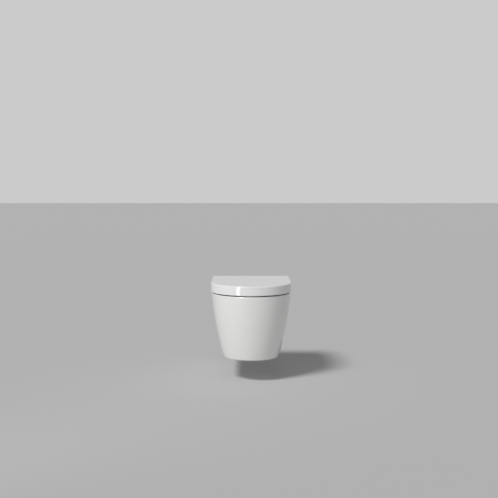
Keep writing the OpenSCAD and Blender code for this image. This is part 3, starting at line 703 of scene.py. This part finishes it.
def pan_profile(inset, top, top_roll, low, low_roll, steps=SIDE_STEPS):
    """The pan's section at a depth under its skin, from the middle of its top to the middle of its base."""
    centre, radius = side_arc()
    radius -= inset

    def corner(height, roll):
        reach = radius - roll
        return Vector((centre.x + math.sqrt(reach * reach - (height - centre.y) ** 2), height))

    top_centre = corner(top - top_roll, top_roll)
    low_centre = corner(low + low_roll, low_roll)
    top_angle = math.degrees(math.atan2(*(top_centre - centre).yx))
    low_angle = math.degrees(math.atan2(*(low_centre - centre).yx))
    points = [(0, top)]
    points += arc(top_centre, top_roll, 90, top_angle, RIM_STEPS)
    points += arc(centre, radius, top_angle, low_angle, steps)[1:-1]
    points += arc(low_centre, low_roll, low_angle, -90, BASE_STEPS)
    points.append((0, low))
    return points


def hull_ring(rear, rear_r, front, front_r, height):
    """The hull of two circles on the middle plane, as points on rays from its own middle."""
    normals = np.linspace(0, 2 * math.pi, HULL_RAYS, endpoint=False)
    up = np.sin(normals)
    use_front = front * up + front_r > rear * up + rear_r
    radius = np.where(use_front, front_r, rear_r)
    x = radius * np.cos(normals)
    y = np.where(use_front, front, rear) + radius * up
    middle = (y.min() + y.max()) / 2
    angles = np.arctan2(y - middle, x) % (2 * math.pi)
    order = np.argsort(angles)
    wanted = np.linspace(0, 2 * math.pi, RING_POINTS, endpoint=False)
    across, along = (np.interp(wanted, angles[order], way[order], period=2 * math.pi) for way in (x, y))
    return [(a, b, height) for a, b in zip(across, along)]


def dish_radius(height):
    """Radius of the basin's dish at a height."""
    if height > BASIN_UPRIGHT:
        return BASIN_R
    fall = min((BASIN_UPRIGHT - height) / BASIN_DEPTH, 1)
    return BASIN_R * math.sqrt(1 - fall * fall)


def sump_radius(height):
    """Radius of the sump, which widens up to its mouth."""
    if height < SUMP_LOW:
        return SUMP_R * math.sqrt(max(1 - ((SUMP_LOW - height) / SUMP_R) ** 2, 0))
    rise = min((height - SUMP_LOW) / (SUMP_MOUTH - SUMP_LOW), 1)
    return SUMP_R + (SUMP_MOUTH_R - SUMP_R) * rise


def sump_floor(radius, end):
    """Heights down a round floor under the sump, at every 8 degrees before the end."""
    return [SUMP_LOW - radius * math.sin(math.radians(angle)) for angle in range(8, end, 8)]


def soft_step(value):
    """A smooth rise from 0 to 1."""
    value = max(min(value, 1), 0)
    return value * value * (3 - 2 * value)


def basin_rings(heights, grow=0):
    """Rings of the basin and its sump: the long round dish narrows and slides back into the round sump."""
    rings = []
    for height in heights:
        dish, sump = dish_radius(height), sump_radius(height)
        meet = max(BASIN_BLEND - abs(dish - sump), 0) ** 2 / (4 * BASIN_BLEND)
        rear_r = max(dish, sump) + meet
        reach = soft_step((height - SLIDE_LOW) / SLIDE_RISE)
        front = BASIN_REAR + (FRONT_CENTRE - BASIN_REAR) * reach
        front_r = dish * reach + sump * (1 - reach)
        rings.append(hull_ring(BASIN_REAR, rear_r + grow, front, front_r + grow, height))
    return rings


def basin_shell(finish):
    """The china round the basin and the sump."""
    heights = [*np.linspace(UNDER_RIM, SUMP_LOW, num=60), *sump_floor(SUMP_R + BASIN_WALL, 64)]
    return loft("basin_shell", basin_rings(heights, BASIN_WALL), finish)


def basin_void(finish):
    """The space inside the basin, with the rolled edge of its opening at the top."""
    rings = []
    edge = arc((BASIN_ROLL, RIM - BASIN_ROLL), BASIN_ROLL, 90, 180, steps=8)
    for out, height in [(BASIN_ROLL, RIM + 2 * JUST_PAST), *edge]:
        rings.append(hull_ring(BASIN_REAR, BASIN_R + out, FRONT_CENTRE, BASIN_R + out, height))
    upright = np.linspace(RIM - BASIN_ROLL, BASIN_UPRIGHT, num=6)[1:]
    dished = np.linspace(BASIN_UPRIGHT, SUMP_LOW, num=64)[1:]
    rings += basin_rings([*upright, *dished, *sump_floor(SUMP_R, 89)])
    return loft("basin_void", rings, finish)


def trap_path(trap_grow, outlet_grow, end):
    """The trapway's path and radius: out of the sump, up over the weir and down into the outlet."""
    trap_r, outlet_r = TRAP_R + trap_grow, OUTLET_R + outlet_grow
    low = arc((BEND_LOW, BEND_HEIGHT), BEND_R, -90, 0, steps=14)
    high = arc((BEND_HIGH, BEND_HEIGHT), BEND_R, 180, 90 - FALL_DEGREES, steps=20)
    path = [((0, y, z), trap_r) for y, z in [(BASIN_REAR, TRAP_FLOOR)] + low + high[1:]]
    start, outlet = Vector(high[-1]), Vector((OUTLET_FULL, OUTLET_HEIGHT))
    slope = Vector((math.cos(math.radians(FALL_DEGREES)), -math.sin(math.radians(FALL_DEGREES))))
    for k in range(1, FALL_STEPS + 1):
        t = k / FALL_STEPS
        level = soft_step(t)
        along = start.lerp(outlet, t).x
        lean = (start + slope * (outlet - start).length * t).y
        height = lean * (1 - level) + outlet.y * level
        path.append(((0, along, height), trap_r * (1 - level) + outlet_r * level))
    path.append(((0, end, OUTLET_HEIGHT), outlet_r))
    return path


def outlet_mouth(finish):
    """The flare at the outlet's end, a little narrower at its start than the bore it runs into."""
    flare = OUTLET_FLARE
    start = OUTLET_R - OUTLET_STEP
    profile = [(0, -3 * flare), (start - flare, -3 * flare), (start, -1.2 * flare)]
    profile += arc((OUTLET_R + flare, -flare), flare, 180, 90, steps=6)
    profile += [(OUTLET_R + flare, JUST_PAST), (0, JUST_PAST)]
    return spin("outlet_mouth", profile, [((0, OUTLET_END, OUTLET_HEIGHT), TO_WALL)], finish, segments=128)


def fixing_web(finish):
    """The web across the back that hangs on the brackets, notched over the outlet."""
    side = pan_profile(SHELL / 2, UNDER_RIM, MM, BASE, MM)
    half = [(x, z) for x, z in side if z > WEB_LOW and x > 0]
    half.append((side_at(WEB_LOW)[0] - SHELL / 2, WEB_LOW))
    outline = half + [(-x, z) for x, z in reversed(half)]
    web = prism("fixing_web", outline, "Y", -WEB, 0, finish)
    outlet = (0, 0, OUTLET_HEIGHT)
    return cut(web, rod("web_notch", WEB_NOTCH, outlet, TO_WALL, -WEB - PAST, PAST, finish, segments=96))


def web_window(side, finish):
    """The bracket's opening in the web, with rounded corners."""
    inner, outer, low, high = WEB_WINDOW
    corners = ((inner, low), (outer, low), (outer, high), (inner, high))
    outline = rolled([(side * x, z, WEB_WINDOW_ROLL) for x, z in corners])
    return prism("web_window", outline, "Y", -WEB - PAST, PAST, finish)


def pan():
    """The china pan: skin, hollow, basin, sump, trapway, outlet, inlet and fixing web."""
    glaze, bare = FINISHES["glazed_china"], FINISHES["bare_china"]
    skin = pan_profile(0, RIM, RIM_ROLL, BASE, BASE_ROLL)
    hollow = pan_profile(SHELL, DECK_UNDERSIDE, CAVITY_ROLL, CAVITY_FLOOR, CAVITY_ROLL, SIDE_STEPS // 2)
    body = cut(d_form("pan", skin, PAN_R, 0.0, 0.0, glaze),
               d_form("hollow", hollow, PAN_R - SHELL, CAVITY_BACK, 0.0, bare, HOLLOW_STATIONS))

    inlet = (0, 0, INLET_HEIGHT)
    trap = tube("trap_shell", trap_path(TRAP_WALL, OUTLET_WALL, OUTLET_END), bare)
    horn = rod("inlet_horn", INLET_R + INLET_WALL, inlet, TO_WALL, BASIN_REAR + BASIN_R, 0, bare)
    body = add(body, basin_shell(bare), trap, horn, fixing_web(bare))
    body = cut(body, basin_void(glaze), tube("trap_void", trap_path(0, 0, 2 * PAST), glaze))
    body = cut(body, rod("inlet_void", INLET_R, inlet, TO_WALL, -INLET_DEPTH, 0, bare, INLET_MOUTH),
               rod("channel_void", CHANNEL_R, inlet, TO_WALL, BASIN_REAR + BASIN_R / 2, PAST, glaze),
               outlet_mouth(bare))
    half_width, out = side_at(0)
    for side in SIDES:
        clamp, clamp_axis = (side * half_width, CLAMP_Y, 0), (side * out[0], 0, out[2])
        deck = (side * DECK_HOLE[0], DECK_HOLE[1], RIM)
        body = cut(body, web_window(side, bare),
                   rod("clamp_hole", CLAMP_HOLE_R, clamp, clamp_axis, -2 * SHELL, 0, bare, HOLE_MOUTH),
                   rod("deck_hole", DECK_HOLE_R, deck, UP, -DECK_HOLE_DEPTH, 0, bare, HOLE_MOUTH))
    stand_for(body, "bowl")


def knuckle(name, span, finish):
    """Round knuckles on the hinge axis, one each side, with soft end edges."""
    length = span[1] - span[0]
    ends = [(KNUCKLE_R, end, KNUCKLE_EDGE) for end in (0, length)]
    profile = rolled([(0, 0), *ends, (0, length)], steps=4)
    return spin(name, profile, mirrored((span[0], HINGE_Y, HINGE_Z), RIGHT), finish)


def knuckle_bores(span, finish):
    """The bores that hold the cartridges and bushes."""
    low, high = -JUST_PAST, span[1] - span[0] + JUST_PAST
    profile = [(0, low), (CARTRIDGE_R, low), (CARTRIDGE_R, high), (0, high)]
    return spin("knuckle_bores", profile, mirrored((span[0], HINGE_Y, HINGE_Z), RIGHT), finish)


def arms(name, outline, span, finish):
    """A pair of arms with one outline, given from the hinge axis as (y, z)."""
    points = [(HINGE_Y + y, HINGE_Z + z) for y, z in outline]
    right = ease(prism(name, points, "X", span[0], span[1], finish), ARM_EASING)
    left = ease(prism(name + "_left", points, "X", -span[1], -span[0], finish), ARM_EASING)
    return add(right, left)


def hinged(body, part, arm, span, finish):
    """The body with a pair of arms and bored knuckles."""
    body = add(body, arms(part + "_arms", arm, span, finish), knuckle(part + "_knuckle", span, finish))
    return cut(body, knuckle_bores(span, finish))


def lid():
    """The wrap-over lid: a thin shell with a tall band, a soft top edge, bosses and hinge arms."""
    finish = FINISHES["lid_plastic"]
    top, low = LID_HIGH.z, LID_LOW.z
    outer = [(0, top)]
    outer += arc((LID_R - LID_EDGE, top - LID_EDGE), LID_EDGE, 90, 0, steps=10)
    outer += arc((LID_R - LID_LIP, low + LID_LIP), LID_LIP, 0, -90, steps=8)
    outer.append((0, low))
    body = d_form("lid", outer, LID_R, LID_BACK, LID_EDGE, finish)

    inner_r, inner_top = LID_R - LID_WALL, top - LID_TOP
    mouth_r, below = inner_r + LID_DRAFT, low - JUST_PAST
    inner = [(0, inner_top)]
    inner += arc((inner_r - LID_INNER_ROLL, inner_top - LID_INNER_ROLL), LID_INNER_ROLL, 90, 0, steps=8)
    inner += [(inner_r, low + JUST_PAST), (mouth_r, below), (0, below)]
    body = cut(body, d_form("lid_hollow", inner, mouth_r, LID_BACK - LID_WALL, LID_INNER_ROLL, finish))
    gap = [(-inner_r, below), (inner_r, below), (inner_r, LID_BACK_LOW), (-inner_r, LID_BACK_LOW)]
    gap_front, gap_back = LID_BACK - 2 * LID_WALL, LID_BACK + 2 * LID_WALL
    body = cut(body, prism("lid_back_gap", gap, "Y", gap_front, gap_back, finish))

    fillet_r, above = BOSS_R + BOSS_FILLET, inner_top + JUST_PAST
    boss = [(0, BOSS_LOW), (BOSS_R, BOSS_LOW), (BOSS_R, inner_top - BOSS_FILLET), (fillet_r, inner_top),
            (fillet_r, above), (0, above)]
    body = add(body, spin("lid_bosses", boss, LID_BUMPERS, finish))
    arm = in_mm([(-15, -4.5), (0, -8), (0, 8), (-15, 8)])
    stand_for(hinged(body, "lid", arm, LID_KNUCKLE, finish), "lid_shell")


def directions(start, end, steps):
    """Unit vectors at even angles in degrees, from the first axis towards the second."""
    return [Vector((math.cos(a), math.sin(a))) for a in np.radians(np.linspace(start, end, steps + 1))]


def seat_loops():
    """Matching points on the hole's edge and on the ring's outside, all the way round."""
    centre = Vector((0, FRONT_CENTRE))
    pairs = [(centre + out * HOLE_R, centre + out * SEAT_R) for out in directions(180, 360, steps=96)]
    front = len(pairs)
    corner = Vector((HOLE_R - HOLE_CORNER, HOLE_BACK - HOLE_CORNER))
    for y in np.linspace(FRONT_CENTRE, corner.y, num=16)[1:]:
        pairs.append((Vector((HOLE_R, y)), Vector((SEAT_R, y))))
    reach_x, reach_y = SEAT_R - corner.x, SEAT_BACK - corner.y
    for out in directions(0, 90, steps=32)[1:]:
        power = (out.x / reach_x) ** SEAT_SQUARENESS + (out.y / reach_y) ** SEAT_SQUARENESS
        pairs.append((corner + out * HOLE_CORNER, corner + out * power ** (-1 / SEAT_SQUARENESS)))
    for x in np.linspace(corner.x, 0, num=12)[1:]:
        pairs.append((Vector((x, HOLE_BACK)), Vector((x, SEAT_BACK))))
    left = [(Vector((-a.x, a.y)), Vector((-b.x, b.y))) for a, b in pairs[front + 1:-1]]
    return pairs + left[::-1]


def seat_section(width):
    """The ring's section from its outside: a flat top whose crown falls to the hole, and a flat base."""
    low, top = SEAT_LOW.z, SEAT_TOP
    start, end = CROWN_START * width, width - SEAT_INNER_EDGE
    section = arc((SEAT_EDGE, top - SEAT_EDGE), SEAT_EDGE, 180, 90, steps=8)
    for k in range(1, CROWN_STEPS):
        t = k / CROWN_STEPS
        section.append((start + (end - start) * t, top - CROWN_FALL * soft_step(t * CROWN_END)))
    section += arc((end, top - CROWN_FALL - SEAT_INNER_EDGE), SEAT_INNER_EDGE, 90, 0, steps=8)
    section += arc((width - SEAT_LOW_EDGE, low + SEAT_LOW_EDGE), SEAT_LOW_EDGE, 0, -90, steps=4)
    section += arc((SEAT_LOW_EDGE, low + SEAT_LOW_EDGE), SEAT_LOW_EDGE, 270, 180, steps=4)
    return section


def seat():
    """The seat ring: crowned on top, flat below, with arms and knuckles behind."""
    finish = FINISHES["seat_plastic"]
    width = SEAT_R - HOLE_R
    section = seat_section(width)
    rings = []
    for inside, outside in seat_loops():
        way = (inside - outside).normalized()
        spare = (inside - outside).length - width
        ring = []
        for across, height in section:
            share = max(min((across - SEAT_EDGE) / (width - SEAT_EDGE - SEAT_INNER_EDGE), 1), 0)
            place = outside + way * (across + spare * share)
            ring.append((place.x, place.y, height))
        rings.append(ring)
    body = loft("seat", rings, finish, closed=True)

    at_knuckle = arc((0, 0), 0.98 * KNUCKLE_R, 204, 258, steps=1)
    arm = rolled([*in_mm([(-62, -10.5), (-24, -10.5, 60)]), *at_knuckle,
                  *in_mm([(-24, -22.5, 60), (-47, -26.5, 60), (-62, -26.5)])])
    stand_for(hinged(body, "seat", arm, SEAT_KNUCKLE, finish), "seat_ring")


def fit_small(name, nodes, profile, places, flats=None, closed=True, segments=SEGMENTS):
    """A turned small part that stands for its nodes, in their finish."""
    stand_for(spin(name, profile, places, FINISHES[SLOT_OF[nodes[0]]], segments, flats, closed), *nodes)


def bumpers(part, places, low, high, foot, shoulder, neck):
    """Four soft pads, in mm: foot (radius, rounding), shoulder (fall, rounding) and neck (radius, fall)."""
    (foot_r, foot_roll), (fall, shoulder_roll), (neck_r, neck_fall) = in_mm((foot, shoulder, neck))
    pad = rolled([(0, low), (foot_r, low, foot_roll), (foot_r, high - fall, shoulder_roll),
                  (neck_r, high - neck_fall), (neck_r, high), (0, high)], steps=5)
    nodes = [f"{part}_bumper_{end}_{side}" for end in ("front", "rear") for side in ("left", "right")]
    fit_small(f"{part}_bumpers", nodes, pad, places, closed=False)


def bumper_sets():
    """The pads between the pan and the seat, and the smaller ones between the seat and the lid."""
    bumpers("seat", SEAT_BUMPERS, RIM + BUMPER_GAP, SEAT_LOW.z, (9, 2.4), (1.2, 0.4), (8.2, 0.8))
    bumpers("lid", LID_BUMPERS, SEAT_TOP + BUMPER_GAP, BOSS_LOW, (6.5, 2), (1, 0.3), (5.8, 0.7))


def thread(radius, depth, pitch, low, high):
    """Profile points of a screw thread seen as rings, from low to high."""
    points = []
    crest_start, crest_end = 0.35 * pitch, 0.6 * pitch
    for k in range(int((high - low) / pitch)):
        z = low + k * pitch
        points += [(radius - depth, z), (radius, z + crest_start), (radius, z + crest_end)]
    return points


def socket_screw(name, node, places, body, key, depth):
    """A screw with a hexagon socket: body is its profile from the tip to the head's top, in mm."""
    top = body[-1][1]
    socket = [(key, top), (key, top - depth), (0, top - depth)]
    flats = [0.0] * len(body) + [key * HEXAGON * MM] * len(socket)
    fit_small(name, [node], in_mm(body + socket), places, flats, closed=False)


def hexagon_nut(name, node, places, bore, flat, height):
    """A hexagon nut with chamfered corners and a countersunk bore, in mm."""
    corner = flat / HEXAGON
    face = flat * 0.985
    lead = 0.1 * flat
    profile = [(bore, lead), (bore + lead, 0), (face, 0), (corner, lead),
               (corner, height - lead), (face, height), (bore + lead, height), (bore, height - lead)]
    flats = [0.0, 0.0, 0.0, flat * MM, flat * MM, 0.0, 0.0, 0.0]
    fit_small(name, [node], in_mm(profile), places, flats)


def side_fixings():
    """Clamp screws through the pan's sides, in nylon sleeves under domed caps."""
    half_width, out = side_at(0)
    places = mirrored((half_width, CLAMP_Y, 0), out)
    caps = ["screw_cap_left", "screw_cap_right"]
    dome = [(0, 1.7), (3, 1.68), (6, 1.56), (8.2, 1.36), (9.5, 1.08), (10.2, 0.72), (10.5, 0.1)]
    skirt = [(7.9, 0.1), (7.9, -2.7), (7.6, -3), (6.3, -3), (6.3, -0.6), (0, -0.6)]
    fit_small("screw_caps", caps, in_mm(dome + skirt), places, closed=False, segments=64)
    sleeve = rolled([(4.1, -22), (7.9, -22, 0.6), (7.9, -3.1, 0.3), (6.4, -3.1), (6.4, -8.2), (4.1, -8.2)],
                    steps=4)
    fit_small("sleeves", ["side_sleeves"], in_mm(sleeve), places)
    screw = [(0, -64.2), (3.2, -64.2), *thread(4, 0.55, 1.25, -63.6, -26), (4, -25.6), (4, -8.2),
             (6.1, -8.2), (6.3, -8.0), (6.3, -3.8), (5.8, -3.2)]
    socket_screw("clamp_screws", "side_screws", places, screw, key=3.2, depth=2.5)


def wall_fixings():
    """Washers and nuts on the wall frame's studs."""
    washer = rolled([(6.5, 0), (12, 0, 0.3), (12, WASHER / MM, 0.7), (6.5, WASHER / MM, 0.3)], steps=4)
    places = pair(STUD_X, BRACKET_FACE, 0, TO_ROOM)
    fit_small("washers", ["stud_washers"], in_mm(washer), places, segments=64)
    places = pair(STUD_X, BRACKET_FACE - WASHER, 0, TO_ROOM)
    hexagon_nut("nuts", "stud_nuts", places, bore=6.05, flat=9, height=10)


def deck_fixings():
    """The hinges' top fixings: bolts through rubber plugs that expand in the deck holes, and their nuts."""
    places = pair(*DECK_HOLE, 0, UP)
    bolt = [(0, 48), (2.4, 48), *thread(3, 0.45, 1, 48.5, 78), (3, 78.4), (3, 86.5),
            (5.8, 86.5), (6, 86.7), (6, 89.9), (5.4, 90.5)]
    socket_screw("hinge_bolts_turned", "hinge_bolts", places, bolt, key=2.4, depth=2)
    plug = [(3.1, 56), (6.6, 56), (7.4, 57.2)]
    for z in range(60, 78, 3):
        plug += [(7.4, z - 0.6), (6.9, z), (7.4, z + 0.6)]
    plug += [(7.4, 80), (3.1, 80)]
    fit_small("plugs", ["expanding_plugs"], in_mm(plug), places)
    places = pair(*DECK_HOLE, PLUG_NUT_BASE, UP)
    hexagon_nut("plug_nuts_turned", "plug_nuts", places, bore=3.05, flat=6.5 * HEXAGON, height=6)


def hinge_small_parts():
    """Pins on the hinge axis with their clips, soft-close cartridges and bushes."""
    places = mirrored((0, HINGE_Y, HINGE_Z), RIGHT)
    pins = ["hinge_pin_left", "hinge_pin_right"]
    head = [(0, 43), (4.4, 43), (5.6, 43.35), (6, 43.9), (6, 44.8), (5.8, 45)]
    groove = [(3.5, 110), (3.1, 110), (3.1, 111.2), (3.5, 111.2)]
    pin = [*head, (3.5, 45), *groove, (3.5, 111.7), (3, 112.2), (0, 112.2)]
    fit_small("hinge_pins", pins, in_mm(pin), places, closed=False)
    clip = rolled([(3.55, 110), (6, 110, 0.3), (6, 111.2, 0.3), (3.55, 111.2)], steps=3)
    fit_small("clips", ["pin_clips"], in_mm(clip), places)
    right, left = places[:1], places[1:]
    for name, node, (near, far), at in (
        ("seat_cartridge", "seat_damper", SEAT_KNUCKLE, right),
        ("seat_bushing", "seat_bush", SEAT_KNUCKLE, left),
        ("lid_cartridge", "lid_damper", LID_KNUCKLE, left),
        ("lid_bushing", "lid_bush", LID_KNUCKLE, right),
    ):
        ring = rolled([(PIN_BORE_R, near, 0.4 * MM), (CARTRIDGE_R, near, 0.5 * MM),
                       (CARTRIDGE_R, far, 0.5 * MM), (PIN_BORE_R, far, 0.4 * MM)], steps=3)
        fit_small(name, [node], ring, at)


def softened(name, width, *nodes):
    """The nodes' own shapes as one piece, with their hard edges eased."""
    work = bmesh.new()
    for node in nodes:
        work.from_mesh(frame["nodes"][node].data)
    bmesh.ops.remove_doubles(work, verts=work.verts, dist=MERGE)
    bmesh.ops.dissolve_limit(work, angle_limit=FLAT, verts=work.verts, edges=work.edges)
    mesh = bpy.data.meshes.new(name)
    work.to_mesh(mesh)
    work.free()
    mesh.materials.clear()
    mesh.materials.append(FINISHES[SLOT_OF[nodes[0]]])
    for face in mesh.polygons:
        face.material_index = 0
    stand_for(ease(link_object(name, mesh), width), *nodes)


def new_finish(name, colour, roughness, tone, metallic=0.0, coat=0.0, grain=None, wave=None):
    """A procedural finish: tone and roughness drift over the piece, and grain and waves are bumps."""
    made = bpy.data.materials.new(name)
    made.use_nodes = True
    wiring = Wiring(made.node_tree)
    place = wiring.out(wiring.node("ShaderNodeTexCoord"), "Object")

    def noise(size, detail):
        cloud = wiring.node("ShaderNodeTexNoise")
        return wiring.join(cloud, Vector=place, Scale=1 / (size * MM), Detail=detail)

    def spread(size, low, high):
        least, most = NOISE_RANGE
        return wiring.join(wiring.node("ShaderNodeMapRange"), Value=noise(size, detail=3), From_Min=least,
                           From_Max=most, To_Min=low, To_Max=high)

    tint = wiring.node("ShaderNodeVectorMath", operation="SCALE")
    shader = made.node_tree.nodes["Principled BSDF"]
    wiring.join(shader, Metallic=metallic, Coat_Weight=coat, Coat_Roughness=COAT_ROUGHNESS,
                Base_Color=wiring.join(tint, Vector=colour, Scale=spread(TONE_SIZE, 1 - tone, 1.0)),
                Roughness=spread(GLOSS_SIZE, *(roughness * share for share in GLOSS_RANGE)))
    normal = None
    for size, height in filter(None, (grain, wave)):
        bump = wiring.node("ShaderNodeBump")
        if normal:
            wiring.join(bump, Normal=normal)
        normal = wiring.join(bump, Strength=1.0, Distance=height * MM, Height=noise(size, detail=2))
    if normal:
        wiring.join(shader, Normal=normal)
    return made


def camera():
    """The photograph's viewpoint: straight from the front and a little above, with a long lens."""
    lens = bpy.data.cameras.new("camera")
    lens.lens = LENS
    lens.sensor_width = SENSOR
    lens.clip_end = VIEW_DEPTH
    made = link_object("camera", lens)
    made.location = CAMERA_PLACE
    made.rotation_euler = (math.radians(90 - CAMERA_FALL), 0, 0)
    bpy.context.scene.camera = made


def lamp(name, kind, place, aim=(0, 0, 0), **settings):
    """A lamp at a place, turned to shine at its aim."""
    made = link_object(name, with_settings(bpy.data.lights.new(name, kind), settings))
    made.location = place
    made.rotation_euler = (Vector(aim) - Vector(place)).to_track_quat("-Z", "Y").to_euler()


def grey(tone):
    return (tone, tone, tone, 1)


def floor_finish():
    """A matt pale floor, which is clear from underneath so that it never hides the pan."""
    made = bpy.data.materials.new("studio_floor")
    made.use_nodes = True
    wiring = Wiring(made.node_tree)
    shader = made.node_tree.nodes["Principled BSDF"]
    matt = wiring.join(shader, Base_Color=grey(FLOOR_TONE), Roughness=0.9, Specular_IOR_Level=0.2)
    underneath = wiring.out(wiring.node("ShaderNodeNewGeometry"), "Backfacing")
    clear = wiring.out(wiring.node("ShaderNodeBsdfTransparent"))
    surface = wiring.fill(wiring.node("ShaderNodeMixShader"), underneath, matt, clear)
    wiring.put(made.node_tree.nodes["Material Output"].inputs["Surface"], surface)
    return made


def floor():
    """A floor that runs past the camera's view on every side."""
    reach = 2 * VIEW_DEPTH
    corners = ((-reach, -reach), (reach, -reach), (reach, reach), (-reach, reach))
    mesh = bpy.data.meshes.new("floor")
    mesh.from_pydata([(x, y, FLOOR) for x, y in corners], [], [(0, 1, 2, 3)])
    mesh.materials.append(floor_finish())
    link_object("floor", mesh)


def backdrop():
    """A plain world, which is pale where it is seen or mirrored, and gives the object a little light."""
    world = bpy.data.worlds.new("studio")
    bpy.context.scene.world = world
    world.use_nodes = True
    wiring = Wiring(world.node_tree)
    shown = wiring.join(world.node_tree.nodes["Background"], Color=grey(BACKDROP), Strength=1.0)
    ambient = wiring.join(wiring.node("ShaderNodeBackground"), Color=grey(1), Strength=AMBIENT)
    rays = wiring.node("ShaderNodeLightPath")
    seen = wiring.out(rays, "Is Camera Ray").reckon("MAXIMUM", wiring.out(rays, "Is Glossy Ray"))
    seen = seen.reckon("MAXIMUM", wiring.out(rays, "Is Transmission Ray"))
    surface = wiring.fill(wiring.node("ShaderNodeMixShader"), seen, ambient, shown)
    wiring.put(world.node_tree.nodes["World Output"].inputs["Surface"], surface)


def lamps():
    """A window for the bright strip on the lid's band, a soft key from the upper left and a faint fill."""
    away = Vector((-math.sin(WINDOW_TURN), -math.cos(WINDOW_TURN), 0)) * WINDOW_DISTANCE
    lamp("window", "AREA", Vector(WINDOW_AIM) + away, WINDOW_AIM, energy=0.95, shape="RECTANGLE",
         size=0.44, size_y=0.7, spread=math.radians(60))
    lamp("high_key", "SUN", (-0.42, -0.52, 0.74), energy=2.0, angle=math.radians(16))
    lamp("side_fill", "SUN", (0.80, -0.35, 0.48), energy=0.12, angle=math.radians(50))


FINISHES = {name: new_finish(name, **settings) for name, settings in FINISH_SETTINGS.items()}
D_FORM, TURNED, TUBE = d_form_tree(), turned_tree(), tube_tree()
pan()
lid()
seat()
bumper_sets()
side_fixings()
wall_fixings()
deck_fixings()
hinge_small_parts()
softened("brackets", 1.2 * MM, "wall_bracket_left", "wall_bracket_right")
softened("posts", 0.8 * MM, "hinge_post_left", "hinge_post_right")
softened("gaskets", 0.3 * MM, "hinge_gaskets")
softened("distributor", 0.8 * MM, "flush_distributor")
camera()
floor()
backdrop()
lamps()
bpy.context.scene.view_settings.view_transform = "Standard"
